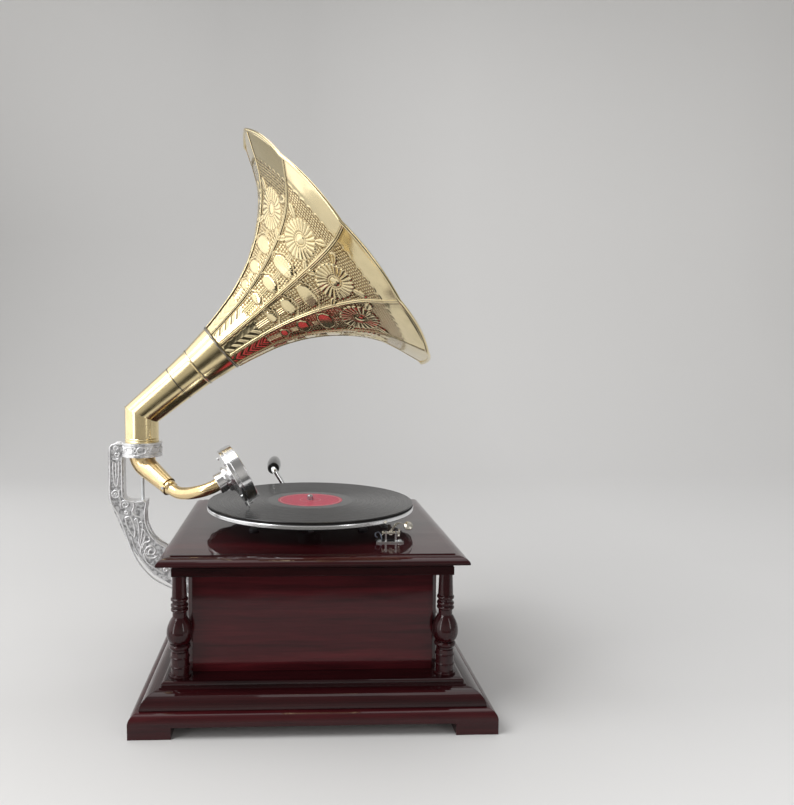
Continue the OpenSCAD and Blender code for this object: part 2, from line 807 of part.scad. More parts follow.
module governor_weights() {
  middle = (hub_x + disc_x - 2) / 2;
  color("#8b8f94")
    placed()
      on_governor(middle - 5)
        for (i = [0:2])
          rotate(i * 120 + 60)
            translate([weight_at, 0, 0])
              intersection() {
                cylinder(h = 10, r = 3.6, $fn = 32);
                translate([-2.6, -5, -1]) cube([10, 10, 12]);
              }
}

module governor_springs() {
  inner_r = weight_at - 2.6;
  length = disc_x - 2 - hub_x;
  color("#7d8791")
    placed()
      on_governor(hub_x)
        for (i = [0:2])
          rotate(i * 120 + 60)
            rotate([90, 0, 0])
              translate([0, 0, -2])
                linear_extrude(4)
                  polygon([[5.3, 0], [5.3, 4], [inner_r, length / 2 - 5], [inner_r, length / 2 + 5],
                    [5.3, length - 4], [5.3, length], [5, length], [5, length - 4.1],
                    [inner_r - 0.3, length / 2 + 5.1], [inner_r - 0.3, length / 2 - 5.1], [5, 4.1], [5, 0]]);
}

module governor_bearings() {
  color("#8d9094")
    placed()
      for (x = [governor_x0 - 6, governor_x1 + 1])
        difference() {
          translate([x, worm_y - 6, gear_floor]) cube([5, 12, worm_z - gear_floor + 7]);
          on_governor(x - 1) cylinder(h = 7, d = 4 + 2 * run, $fn = 32);
        }
}

// Lever that presses a leather pad on the friction disc to set the speed
module speed_lever() {
  floor_z = gear_floor + gap;
  arm_x = pad_xy[0] + 1.5;
  color("#9aa0a6")
    placed() {
      difference() {
        union() {
          translate([lever_xy[0], lever_xy[1], floor_z]) cylinder(h = 3, r = 5, $fn = 32);
          translate([arm_x, lever_xy[1] - 2.5, floor_z]) cube([lever_xy[0] - arm_x, 5, 3]);
          translate([arm_x, lever_xy[1] - 2.5, floor_z]) cube([3, pad_xy[1] - lever_xy[1] + 4.5, 3]);
          translate([arm_x, pad_xy[1] - 2, floor_z]) cube([3, 4, worm_z - gear_floor + 2]);
        }
        translate([lever_xy[0], lever_xy[1], gear_floor - 1]) cylinder(h = 7, d = 4 + 2 * run, $fn = 32);
      }
      translate([pad_xy[0], pad_xy[1], worm_z]) rotate([0, 90, 0]) cylinder(h = 1.5, r = 2, $fn = 24);
    }
}

// Bearing block of the winding shaft, with the click pawl's pin
module winding_bearing() {
  color("#8d9094")
    placed() {
      difference() {
        translate([crank_x - 12, bearing_y, crank_z - 11]) cube([24, bearing_t, top_plate_z - crank_z + 11]);
        translate([crank_x, bearing_y - 1, crank_z]) rotate([-90, 0, 0])
          cylinder(h = bearing_t + 2, d = winding_d + 2 * run, $fn = 48);
      }
      translate([crank_x + 12 - eps, bearing_y, crank_z + 6]) cube([9, 4, 9]);
      translate([pawl_at[0], ratchet_y - 1, pawl_at[1]]) rotate([-90, 0, 0])
        cylinder(h = bearing_y - ratchet_y + 1 + eps, d = 3, $fn = 24);
    }
}

module click_pawl() {
  color("#b9bcc2")
    placed()
      translate([pawl_at[0], ratchet_y + 0.2, pawl_at[1]])
        rotate([-90, click_raise, 0])
          difference() {
            union() {
              cylinder(h = ratchet_t - 0.4, r = 3.4, $fn = 32);
              linear_extrude(ratchet_t - 0.4)
                polygon([[-12, 2.05], [-8.5, 2.5], [-1.5, 3.05], [0, 0], [-0.6, -3.3], [-11.2, 0.6]]);
            }
            translate([0, 0, -1]) cylinder(h = 9, d = 3 + 2 * run, $fn = 24);
          }
}

module winding_shaft() {
  pitch = 360 / ratchet_n;
  color("#9aa0a6")
    placed()
      translate([crank_x, 0, crank_z])
        rotate([-90, 0, 0]) {
          translate([0, 0, pinion_y - pinion_t / 2])
            cylinder(h = crank_y - crank_bend - 6 - pinion_y + pinion_t / 2, d = winding_d, $fn = 48);
          translate([0, 0, pinion_y - pinion_t / 2]) gear(winding_n, crown_m, pinion_t, -90);
          translate([0, 0, ratchet_y])
            linear_extrude(ratchet_t)
              polygon([for (i = [0:ratchet_n - 1]) for (k = [0, 1])
                (k == 0 ? ratchet_r - 2 : ratchet_r) * [cos((i + k * 0.98) * pitch),
                  sin((i + k * 0.98) * pitch)]]);
        }
}

module crank_escutcheon() {
  color("#c9a94f")
    placed()
      translate([crank_x, body_half, crank_z])
        rotate([-90, 0, 0])
          difference() {
            rotate_extrude($fn = 64) polygon([[0, 0], [17, 0], [17, 1], [14, 2.2], [9, 2.6], [0, 2.6]]);
            translate([0, 0, -1]) cylinder(h = 5, d = winding_d + 2 * gap, $fn = 48);
          }
}

// Socket, rod bent at both ends and the pin that the handle turns on
module crank_rod() {
  socket_y = body_half + 4;
  socket_end = crank_y - crank_bend;
  color("#c9ccd1")
    placed()
      translate([crank_x, 0, crank_z])
        rotate([0, -crank_a, 0])
          difference() {
            union() {
              translate([0, socket_y, 0])
                rotate([-90, 0, 0]) cylinder(h = socket_end - socket_y + eps, d = winding_d + 5, $fn = 48);
              translate([0, socket_end, crank_bend])
                rotate([90, 0, 90]) rotate(-90)
                  rotate_extrude(angle = 90, $fn = 64) translate([crank_bend, 0]) circle(r = rod_r, $fn = 32);
              translate([0, crank_y, crank_bend])
                cylinder(h = crank_l - crank_bend - handle_bend, r = rod_r, $fn = 32);
              translate([0, crank_y + handle_bend, crank_l - handle_bend])
                rotate([90, 0, 90]) rotate(90)
                  rotate_extrude(angle = 90, $fn = 64) translate([handle_bend, 0])
                    circle(r = rod_r, $fn = 32);
              translate([0, crank_y + handle_bend - eps, crank_l])
                rotate([-90, 0, 0]) cylinder(h = handle_l - 8, r = 3, $fn = 32);
            }
            translate([0, socket_y - 1, 0])
              rotate([-90, 0, 0]) cylinder(h = socket_end - 6 - socket_y + 1.5,
                d = winding_d + 2 * run, $fn = 48);
          }
}

module crank_handle() {
  color("#1d1a1a")
    placed()
      translate([crank_end[0], handle_y, crank_end[1]])
        rotate([-90, 0, 0])
          difference() {
            rotate_extrude($fn = 64)
              polygon(concat([[0, 0], [handle_r - 3, 0]],
                bezier([handle_r - 2, 1], [handle_r + 0.6, handle_l * 0.3], [handle_r + 0.6, handle_l * 0.6],
                  [handle_r - 2, handle_l - 6], 12),
                arc([handle_r - 8, handle_l - 6], 6, 6, 15, 90, 5), [[0, handle_l]]));
            translate([0, 0, -1]) cylinder(h = handle_l - 6, r = 3 + run, $fn = 32);
          }
}

// Deck
module turntable() {
  outer = table_r;
  color("#c9ccd1")
    placed()
      difference() {
        union() {
          rotate_extrude($fn = 128)
            polygon(concat(
              [[0, table_z - table_t], [outer - table_t - 1, table_z - table_t],
                [outer - table_t - 1, rim_z + 0.6],
                [outer - table_t - 0.6, rim_z], [outer - 0.8, rim_z], [outer, rim_z + 0.8]],
              arc([outer - 2, table_z - 2], 2, 2, 0, 90, 6), [[0, table_z]]));
          translate([0, 0, table_z - 14]) cylinder(h = 13, r = 15, $fn = 64);
        }
        translate([0, 0, table_z - 15]) cylinder(h = 16, d = shaft_d - 0.5 + 2 * run, $fn = 48);
        translate([0, 0, table_z - 15]) cylinder(h = 5 + eps, d = shaft_d + 2 * run, $fn = 48);
      }
}

module turntable_felt() {
  color("#2c4a3a")
    placed()
      translate([0, 0, table_z])
        difference() {
          cylinder(h = felt_t, r = record_r - 2, $fn = 128);
          translate([0, 0, -1]) cylinder(h = felt_t + 2, d = spindle_d + 0.6, $fn = 48);
        }
}

module record() {
  color("#16171a")
    placed()
      difference() {
        rotate_extrude($fn = 128)
          polygon([[0, record_z], [record_r - 0.6, record_z], [record_r, record_z + 0.6],
            [record_r, groove_z - 0.6], [record_r - 0.6, groove_z], [label_r, groove_z],
            [label_r, groove_z - label_t], [0, groove_z - label_t]]);
        translate([0, 0, record_z - 1]) cylinder(h = 5, d = spindle_d + 0.5, $fn = 48);
      }
}

module record_label() {
  color("#9b1f2e")
    placed()
      translate([0, 0, groove_z - label_t])
        difference() {
          cylinder(h = label_t, r = label_r, $fn = 96);
          translate([0, 0, -1]) cylinder(h = 3, d = spindle_d + 0.5, $fn = 48);
        }
}

// Brake on the front right of the deck
module brake_screw_places() {
  for (x = [-10, 12])
    translate([brake_x + x, -brake_y - 3.5, deck_z]) children();
}

module brake_base() {
  rod_x = brake_x + 2.5;
  color("#c4c7cc")
    placed()
      difference() {
        union() {
          translate([brake_x - 14, -brake_y - 7, deck_z]) cube([30, 12, 1.6]);
          for (x = [-1, 1])
            translate([rod_x + x * brake_ear / 2 - 1, -brake_y - 3, deck_z]) cube([2, 6, brake_rod_h + 2]);
        }
        translate([brake_x - 14, -brake_y, brake_z])
          rotate([0, 90, 0]) cylinder(h = 40, d = 3 + 2 * run, $fn = 32);
        brake_screw_places() translate([0, 0, -1]) cylinder(h = 5, d = 3 + 2 * run, $fn = 24);
      }
}

module brake_rod() {
  rod_x = brake_x + 2.5;
  color("#dcdfe3")
    placed()
      translate([rod_x, -brake_y, brake_z])
        rotate([0, 90, 0]) {
          translate([0, 0, -brake_ear / 2 - 3]) cylinder(h = brake_ear + 8, d = 3, $fn = 32);
          translate([0, 0, -brake_ear / 2 - 4.4]) cylinder(h = 1.5, d = 5.4, $fn = 32);
          translate([0, 0, brake_ear / 2 + 2.6])
            for (a = [0, 180])
              rotate(a + 30)
                translate([0, -0.7, 0]) cube([5, 1.4, 2.2]);
        }
}

// Lever with a thumb disc at the right and an arm under the turntable's rim
module brake_lever() {
  rod_x = brake_x + 2.5;
  arm = smooth([[0, 0], [2.4, 5], [6, 9.4], [11, 10.6], [17.5, 6.8]], 4);
  color("#d3d6da")
    placed()
      translate([rod_x, -brake_y, brake_z])
        difference() {
          union() {
            rotate([0, 90, 0]) translate([0, 0, -1.6]) cylinder(h = 3.2, r = 3, $fn = 32);
            translate([-1.6, 0, -1]) cube([3.2, 12, 2]);
            rotate([90, 0, 0])
              linear_extrude(2.2, center = true)
                polygon(concat([for (p = arm) p + [-0.9, 0.7]],
                  [for (i = [len(arm) - 1:-1:0]) arm[i] + [0.9, -0.7]]));
            translate([19.5, 0, 7.2])
              rotate([50, 0, 0]) {
                cylinder(h = 1.6, d = thumb_d, $fn = 48);
                translate([0, 0, 1.6 - eps])
                  cylinder(h = 1.1, d1 = thumb_d - 1.4, d2 = thumb_d - 5, $fn = 48);
              }
          }
          rotate([0, 90, 0]) cylinder(h = 20, d = 3 + 2 * run, center = true, $fn = 32);
        }
}

module brake_pad() {
  color("#5a2a2a")
    placed()
      translate([brake_x + 2.5, -brake_y + 10, brake_z + 1]) cylinder(h = 5.6, r = 1.6, $fn = 24);
}

// Hooked wire spring at the left of the brake
module brake_spring() {
  path = smooth([[0, 1], [-0.5, 5], [-3, 9.4], [-6.4, 8.6], [-6.8, 5], [-4.4, 3.6]], 5);
  color("#b9bcc2")
    placed()
      translate([brake_x - 7.2, -brake_y + 2.6, deck_z + 0.6])
        tube([for (p = path) [p[0], 0, p[1]]], [for (p = path) 0.7], 8);
}

// Solid tube along a path that lies in one upright plane
function tube_ring(path, i, r, sides) =
  let (a = path[max(i - 1, 0)], b = path[min(i + 1, len(path) - 1)], t = (b - a) / norm(b - a),
    n = [-t[2], 0, t[0]] / norm([t[2], 0, t[0]]), w = cross(n, t))
  [for (k = [0:sides - 1]) path[i] + r * cos(360 * k / sides) * n + r * sin(360 * k / sides) * w];

module tube(path, radii, sides) {
  rings = len(path);
  points = [for (i = [0:rings - 1]) for (p = tube_ring(path, i, radii[i], sides)) p];
  walls = [for (i = [0:rings - 2]) for (k = [0:sides - 1]) let (j = (k + 1) % sides)
    for (f = [[i * sides + k, i * sides + j, (i + 1) * sides + j],
              [i * sides + k, (i + 1) * sides + j, (i + 1) * sides + k]]) f];
  polyhedron(points, concat(walls,
    [[for (k = [sides - 1:-1:0]) k]],
    [[for (k = [0:sides - 1]) (rings - 1) * sides + k]]));
}

// Bracket
module bracket_screw_places() {
  for (y = [-15, 15])
    for (z = [plate_low + plate_edge, plate_low + plate_h - plate_edge])
      translate([-body_half, y, z]) children();
}

module bracket() {
  foot_x = -body_half - foot_plate_t;
  left = pivot_x - spine_out;
  right = left + spine_w;
  top = ring_z + ring_h;
  outer = bezier([foot_x + 2, plate_low + 3.6], [pivot_x - 14, plate_low + 41],
    [pivot_x - 18, plate_low + 78],
    [left, shelf_z + 1], 16);
  inner = bezier([pivot_x + 4.5, shelf_z - 13], [pivot_x - 3, shelf_z - 40], [pivot_x + 14, shelf_z - 62],
    [foot_x + 2, shelf_z - 67.4], 14);
  corner = arc([left + 9, top - 11], 9, 8, 180, 90, 5);
  hollow = arc([right + 8, shelf_z + 8], 8, 8, 180, 270, 5);
  color("#aeb1b5")
    placed()
      difference() {
        union() {
          rotate([90, 0, 0])
            linear_extrude(cast_t, center = true)
              polygon(concat(outer, corner, [[pivot_x - ring_d / 2 + 4, top - 3],
                [pivot_x - ring_d / 2 + 4, ring_z],
                [right, ring_z]], hollow, [[pivot_x + 6.5, shelf_z]], inner));
          translate([foot_x, -foot_plate_w / 2, plate_low]) cube([foot_plate_t, foot_plate_w, plate_h]);
          translate([pivot_x, 0, ring_z])
            rotate_extrude($fn = 96)
              polygon([[0, 0], [ring_d / 2, 0], [ring_d / 2, 2.4], [ring_d / 2 - 1, 3.2],
                [ring_d / 2 - 1, ring_h - 3.2], [ring_d / 2, ring_h - 2.4], [ring_d / 2, ring_h],
                  [0, ring_h]]);
        }
        translate([pivot_x, 0, ring_z - 1]) cylinder(h = ring_h + 2, r = sleeve_r + run, $fn = 96);
        translate([pivot_x, 0, socket_z]) cylinder(h = ring_h, r = elbow_r + run, $fn = 96);
        translate([pivot_x, 0, shelf_z - 8]) cylinder(h = 20, d = pin_d + 2 * run, $fn = 32);
        bracket_screw_places()
          rotate([0, 90, 0]) cylinder(h = 60, d = wood_screw_d + 2 * run, center = true, $fn = 24);
      }
}

module pivot_pin() {
  color("#c9ccd1")
    placed()
      translate([pivot_x, 0, shelf_z - 8 + gap]) {
        cylinder(h = pin_top - pin_d / 2 - shelf_z + 8 - gap, d = pin_d, $fn = 32);
        translate([0, 0, pin_top - pin_d / 2 - shelf_z + 8 - gap]) sphere(d = pin_d, $fn = 32);
      }
}

// Tone arm, in the upright plane through the pivot that is swung toward the front
module in_arm_plane() translate([pivot_x, 0, 0]) rotate(-arm_swing) children();

cup_dir = [cos(cup_a), 0, -sin(cup_a)];
arm_path = concat(
  [for (i = [0:10]) let (a = (90 - cup_a) * i / 10) [arm_bend * (1 - cos(a)), 0, bend_z - arm_bend * sin(a)]],
  [for (d = [arm_l - 10, arm_l - 20, 12, 3]) [crook_x, 0, crook_z] - d * cup_dir]);
module tone_arm() {
  n = len(arm_path) - 1;
  end_r = cup_r + tube_wall;
  outer = [for (i = [0:n]) lerp(sleeve_r - 0.3, end_r - 0.4,
    i < 11 ? 0.5 * i / 10 : 0.5 + 0.5 * (i - 10) / (n - 10))];
  inner = [for (r = outer) r - tube_wall];
  color("#d9b24c")
    placed()
      in_arm_plane()
        difference() {
          union() {
            translate([0, 0, ring_z + 0.6]) cylinder(h = ring_h + 1, r = sleeve_r, $fn = 96);
            tube(arm_path, outer, 32);
            translate([crook_x, 0, crook_z]) rotate([0, 90 + cup_a, 0])
              translate([0, 0, -7]) cylinder(h = 9.2, r = end_r, $fn = 64);
          }
          translate([0, 0, ring_z + 0.1]) cylinder(h = ring_h + 4, r = sleeve_r - tube_wall, $fn = 96);
          tube(concat([[0, 0, bend_z + 2]], arm_path), concat([inner[0]], inner), 32);
          translate([crook_x, 0, crook_z]) rotate([0, 90 + cup_a, 0]) {
            translate([0, 0, -7.5]) cylinder(h = 11, r = cup_r, $fn = 64);
            translate([-20, -20, -2.5]) cube([16.5, 40, 10]);
          }
          translate([crook_x, 0, crook_z]) rotate([90, 0, 0])
            cylinder(h = 40, d = crook_pin_d + 2 * run, center = true, $fn = 24);
        }
}

module crook_pins() {
  reach = cup_r + tube_wall;
  color("#c9ccd1")
    placed()
      in_arm_plane()
        for (s = [-1, 1])
          translate([crook_x, s * (reach - 4), crook_z])
            rotate([-90 * s, 0, 0]) {
              cylinder(h = 4.4, d = crook_pin_d, $fn = 24);
              translate([0, 0, 4 + run]) cylinder(h = 0.9, d = crook_pin_d + 1.4, $fn = 24);
            }
}

box_dir = [cos(box_tilt) * cos(box_turn), cos(box_tilt) * sin(box_turn), sin(box_tilt)];
sleeve_start = [box_x, box_y, box_z] - sleeve_l * box_dir;
crook_path = smooth([[crook_x, 0, crook_z], [crook_x + 7, 0, crook_z - 3.2], [crook_x + 16, 0, crook_z - 5.4],
  [crook_x + 28, 0, crook_z - 4.8], [crook_x + 43, 0, crook_z - 2],
  [sleeve_start[0] - 10.3, sleeve_start[1] - 8.7, sleeve_start[2] - 6],
    sleeve_start - 5 * box_dir, sleeve_start], 3);
module crook() {
  last = len(crook_path) - 1;
  tube_r = [for (i = [0:last]) neck_tube_r - (i > last - 1 ? 0.3 : 0)];
  bore = [for (i = [0:last]) neck_tube_r - tube_wall - (i > last - 1 ? 0.3 : 0)];
  inlet = crook_path[0] - 10 * (crook_path[1] - crook_path[0]) / norm(crook_path[1] - crook_path[0]);
  color("#e0b850")
    placed()
      in_arm_plane()
        difference() {
          union() {
            translate([crook_x, 0, crook_z])
              rotate([0, 90 + cup_a, 0])
                intersection() {
                  sphere(r = ball_r, $fn = 64);
                  translate([0, 0, -5.4]) cylinder(h = 20, r = 20);
                }
            tube(crook_path, tube_r, 32);
            translate(sleeve_start - box_dir) rotate(box_turn) rotate([0, 90 - box_tilt, 0])
              cylinder(h = sleeve_l - 5, r = neck_tube_r, $fn = 64);
          }
          tube(concat([inlet], crook_path), concat([bore[0]], bore), 32);
          translate(sleeve_start - box_dir) rotate(box_turn) rotate([0, 90 - box_tilt, 0])
            cylinder(h = sleeve_l + 2, r = neck_tube_r - tube_wall, $fn = 64);
          for (s = [-1, 1])
            translate([crook_x, s * ball_r, crook_z]) rotate([90, 0, 0])
              cylinder(h = 6.4, d = crook_pin_d + 2 * run, center = true, $fn = 24);
        }
}

// Sound box: local +Z is its axis, local +X points at the record
module in_box()
  placed() in_arm_plane() translate([box_x, box_y, box_z]) rotate(box_turn)
    rotate([0, 90 - box_tilt, 0]) children();

module soundbox_screw_places() {
  for (a = [45:90:315])
    rotate(a) translate([box_r - 4.2, 0, 0]) children();
}

module soundbox_back() {
  color("#c4c7cc")
    in_box()
      difference() {
        rotate_extrude($fn = 96)
          polygon([[0, -sleeve_l], [11.2, -sleeve_l], [11.8, -sleeve_l + 0.6], [11.8, -8.6], [14.6, -7.4],
            [15.4, -4.2], [22, -1.8], [box_r - 1.2, -0.8], [box_r - 0.6, -0.2], [box_r - 0.6, box_back_t],
            [0, box_back_t]]);
        translate([0, 0, -sleeve_l - 1]) cylinder(h = sleeve_l - 4, r = neck_tube_r + run, $fn = 64);
        translate([0, 0, -sleeve_l - 1]) cylinder(h = sleeve_l + 9, r = neck_tube_r - tube_wall, $fn = 64);
        soundbox_screw_places() translate([0, 0, -3]) cylinder(h = 9, d = 2 + 2 * run, $fn = 24);
      }
}

// Ring with a groove behind it and a lip that holds the diaphragm's front gasket
module soundbox_body() {
  front = box_y0 + box_t;
  color("#d3d6da")
    in_box()
      difference() {
        rotate_extrude($fn = 96)
          polygon(concat([[disc_bore, box_back_t], [box_r - 2, box_back_t], [box_r - 2, box_y0],
            [box_r - 1.2, box_y0]],
            arc([box_r - 1.2, box_y0 + 1.2], 1.2, 1.2, -60, 0, 3),
            arc([box_r - 1.2, front - 1.2], 1.2, 1.2, 0, 90, 3),
            [[disc_bore - 0.6, front], [disc_bore - 3, disc_z + 3], [disc_bore, disc_z + 3]]));
        soundbox_screw_places() cylinder(h = 6.4, d = 2 + 2 * run, $fn = 24);
      }
}

module soundbox_screws() {
  color("#e3e6ea")
    in_box()
      soundbox_screw_places() {
        translate([0, 0, -1.6]) cylinder(h = 7.2, d = 2, $fn = 24);
        translate([0, 0, -2.6]) cylinder(h = 1.25, d = 3.6, $fn = 24);
      }
}

module diaphragm() {
  color("#d9d3bd") in_box() translate([0, 0, disc_z]) cylinder(h = 0.4, r = disc_bore - 0.1, $fn = 96);
}

module gaskets() {
  color("#2b2b2b")
    in_box()
      for (z = [box_back_t, disc_z + 0.4])
        translate([0, 0, z])
          difference() {
            cylinder(h = 2.6, r = disc_bore - 0.1, $fn = 96);
            translate([0, 0, -1]) cylinder(h = 5, r = disc_bore - 3, $fn = 96);
          }
}

// Chuck for the needle, and the bent bar that carries its motion to the diaphragm
module stylus_bar() {
  front = box_y0 + box_t + 1.4;
  color("#c4c7cc")
    in_box()
      difference() {
        union() {
          translate([box_r, 0, 1.5]) rotate([0, 90, 0]) cylinder(h = 5.5, r = 2.3, $fn = 32);
          translate([box_r, -1.6, 1.5]) cube([2.1, 3.2, front - 0.1]);
          translate([1, -1, front]) cube([box_r + 1.1, 2, 1.6]);
          translate([0, 0, disc_z + 0.4]) cylinder(h = front + 1.2 - disc_z, r = 1.6, $fn = 24);
        }
        translate([box_r - 1, 0, 1.5]) rotate([0, 90, 0]) cylinder(h = 9, d = needle_d + 2 * run, $fn = 24);
        translate([chuck_x, 0, 1.5]) cylinder(h = 8, d = 1.6 + 2 * run, $fn = 24);
      }
}

module needle_screw() {
  color("#e3e6ea")
    in_box()
      translate([chuck_x, 0, 1.5 + needle_d / 2 + run]) {
        cylinder(h = 4.6, d = 1.6, $fn = 24);
        translate([0, 0, 2.4]) cylinder(h = 3.4, d = 3.2, $fn = 24);
      }
}

module needle() {
  start = box_r + gap + 0.6;
  color("#e3e6ea")
    in_box()
      translate([start, 0, 1.5])
        rotate([0, 90, 0]) {
          cylinder(h = needle_tip - 2.4 - start, d = needle_d, $fn = 24);
          translate([0, 0, needle_tip - 2.4 - start - eps])
            cylinder(h = 2.4, d1 = needle_d, d2 = 0.3, $fn = 24);
        }
}

// Horn: local +Z is its axis, local -X is its upper side
module in_horn() placed() translate([pivot_x, 0, mitre_z]) rotate([0, 90 - horn_tilt, 0]) children();

// Outline of the horn from the mitre outward: [distance along the axis, outer radius]
neck_line = [[0, elbow_r - 0.3], [seam_1, 22.6], [seam_2, 25], [seam_3, 30]];
bell_line = smooth([[seam_3, 30], [153, 36], [183, 44.5], [213, 58], [239, 75], [262, 95], [280, 117],
  [291, 139], [horn_l - 6.8, mouth_r - 17], [horn_l - 1.4, mouth_r - 3], [horn_l - 0.4, mouth_r]], 2);

module elbow() {
  half_turn = (90 - horn_tilt) / 2;
  cone_low = neck_line[0][1] - (neck_line[1][1] - neck_line[0][1]) * 40 / seam_1;
  color("#dcb34a")
    placed()
      translate([pivot_x, 0, mitre_z]) {
        intersection() {
          translate([0, 0, socket_z + gap - mitre_z])
            rotate_extrude($fn = 96)
              polygon([[elbow_r - horn_wall - 1, 0], [elbow_r, 0], [elbow_r, 10.4], [elbow_r + 0.5, 11.2],
                [elbow_r, 12], [elbow_r, 13.2], [elbow_r + 0.5, 14], [elbow_r, 14.8], [elbow_r, 100],
                [elbow_r - horn_wall, 100], [elbow_r - horn_wall, 15], [elbow_r - horn_wall - 1, 12]]);
          rotate([0, half_turn, 0]) translate([-60, -60, -140]) cube([120, 120, 140]);
        }
        rotate([0, 90 - horn_tilt, 0]) {
          intersection() {
            union() {
              rotate_extrude($fn = 96)
                polygon([[cone_low - horn_wall, -40], [cone_low, -40], [neck_line[1][1], seam_1],
                  [neck_line[1][1] - horn_wall, seam_1]]);
              rotate_extrude($fn = 96)
                polygon([[spigot_r - horn_wall, seam_1 - 10], [spigot_r + 0.6, seam_1 - 10],
                  [spigot_r + 0.6, seam_1 - 1], [spigot_r, seam_1 - 1], [spigot_r, seam_1 + 18],
                  [spigot_r - horn_wall, seam_1 + 18]]);
            }
            rotate([0, -half_turn, 0]) translate([-120, -60, -0.1]) cube([240, 120, 200]);
          }
        }
      }
}

// Neck that fits over the elbow's spigot, and the throat with its bead
module horn_neck() {
  color("#dcb34a")
    in_horn() {
      rotate_extrude($fn = 96)
        polygon([[spigot_r + run, seam_1 + gap], [neck_line[1][1], seam_1 + gap],
          [neck_line[2][1] - 0.4, seam_2 - 3],
          [neck_line[2][1] + 0.6, seam_2 - 2], [neck_line[2][1] + 0.6, seam_2 - 0.8],
          [neck_line[2][1], seam_2],
          [neck_line[2][1] - 1.5, seam_2], [spigot_r + 1.4, seam_1 + 10], [spigot_r + run, seam_1 + 8]]);
      rotate_extrude($fn = 96)
        polygon(concat([[neck_line[2][1] - horn_wall, seam_2], [neck_line[2][1], seam_2],
            [neck_line[3][1], seam_3 - 1.6]],
          arc([neck_line[3][1], seam_3], 1.6, 1.6, -90, 90, 6),
          [[neck_line[3][1] - 2.6, seam_3 + 1.6], [neck_line[3][1] - 1.4, seam_3 - 1.6]]));
    }
}

// Petals are nearly flat across near the neck and rounder at the mouth
petal_cuts = [0.001, 0.045, 0.27, 0.5, 0.73, 0.955, 0.999];
function bell_point(line, i, across, petal, out) =
  let (t = i / (len(line) - 1), p = line[i], a = (across - 0.5) * 360 / petal_n,
    flat = cos(180 / petal_n) / cos(a), w = lerp(0.85, 0.35, t), r = p[1] * (1 - w + w * flat) + out,
    lip = pow(t, 8) * 2.8 * (1 - pow(2 * across - 1, 2)),
    turn = lean + 3 * sin(180 * t) + (petal + across) * 360 / petal_n)
  [-r * cos(turn), -r * sin(turn), p[0] + lip];

petal_line = [for (i = [0:len(bell_line) - 1]) bell_line[i] + (i == 0 ? [1.6, 0.3] : [0, 0])];
module horn_petals() {
  rings = len(petal_line);
  cuts = len(petal_cuts);
  layer = rings * cuts;
  strip = [for (i = [0:rings - 2]) for (k = [0:cuts - 2]) [i * cuts + k, i * cuts + k + 1,
    (i + 1) * cuts + k + 1,
    (i + 1) * cuts + k]];
  outside = [for (q = strip) for (f = [[q[0], q[2], q[1]], [q[0], q[3], q[2]]]) f];
  inside = [for (q = strip) for (f = [[q[0], q[1], q[2]], [q[0], q[2], q[3]]]) [for (v = f) v + layer]];
  ends = [for (k = [0:cuts - 2]) for (f = [[k, k + 1, layer + k], [k + 1, layer + k + 1, layer + k]]) f];
  far = (rings - 1) * cuts;
  mouths = [for (k = [0:cuts - 2])
    for (f = [[far + k + 1, far + k, far + layer + k],
      [far + k + 1, far + layer + k, far + layer + k + 1]]) f];
  lefts = [for (i = [0:rings - 2]) let (a = i * cuts, b = a + cuts)
    for (f = [[a, a + layer, b], [b, a + layer, b + layer]]) f];
  rights = [for (i = [0:rings - 2]) let (a = i * cuts + cuts - 1, b = a + cuts)
    for (f = [[a, b, a + layer], [b, b + layer, a + layer]]) f];
  color("#d9bf78")
    in_horn()
      for (petal = [0:petal_n - 1])
        polyhedron(
          concat([for (i = [0:rings - 1]) for (c = petal_cuts) bell_point(petal_line, i, c, petal, 0)],
            [for (i = [0:rings - 1]) for (c = petal_cuts) bell_point(petal_line, i, c, petal, -horn_wall)]),
          concat(outside, inside, ends, mouths, lefts, rights));
}

// Folded seams over the joints between petals
module horn_seams() {
  rings = len(petal_line) - 2;
  edge = petal_cuts[1];
  color("#c7a55a")
    in_horn()
      for (petal = [0:petal_n - 1]) {
        points = [for (i = [1:rings]) for (q = [[edge, 0, 0], [edge, 0, 1.5], [1 - edge, -1, 1.5],
          [1 - edge, -1, 0],
          [0, 0, 0]])
          bell_point(petal_line, i, q[0], petal + q[1], q[2])];
        walls = [for (i = [0:rings - 2]) for (k = [0:4]) let (a = i * 5 + k, b = i * 5 + (k + 1) % 5)
          for (f = [[a, b, b + 5], [a, b + 5, a + 5]]) f];
        last = (rings - 1) * 5;
        polyhedron(points, concat(walls, [[4, 1, 0], [4, 2, 1], [4, 3, 2]],
          [[last, last + 1, last + 4], [last + 1, last + 2, last + 4], [last + 2, last + 3, last + 4]]));
      }
}

module horn_wire() {
  cuts = len(petal_cuts) - 1;
  sides = 8;
  tip = len(petal_line) - 1;
  rings = petal_n * cuts;
  centres = [for (petal = [0:petal_n - 1]) for (k = [0:cuts - 1])
    bell_point(petal_line, tip, petal_cuts[k], petal, wire_r)];
  points = [for (c = centres) let (out = [c[0], c[1], 0] / norm([c[0], c[1], 0]))
    for (k = [0:sides - 1]) c + wire_r * (cos(360 * k / sides) * out + sin(360 * k / sides) * [0, 0, 1])];
  walls = [for (i = [0:rings - 1]) for (k = [0:sides - 1])
    let (n = (i + 1) % rings, j = (k + 1) % sides)
    for (f = [[i * sides + k, i * sides + j, n * sides + j],
      [i * sides + k, n * sides + j, n * sides + k]]) f];
  color("#cfae62") in_horn() polyhedron(points, walls);
}

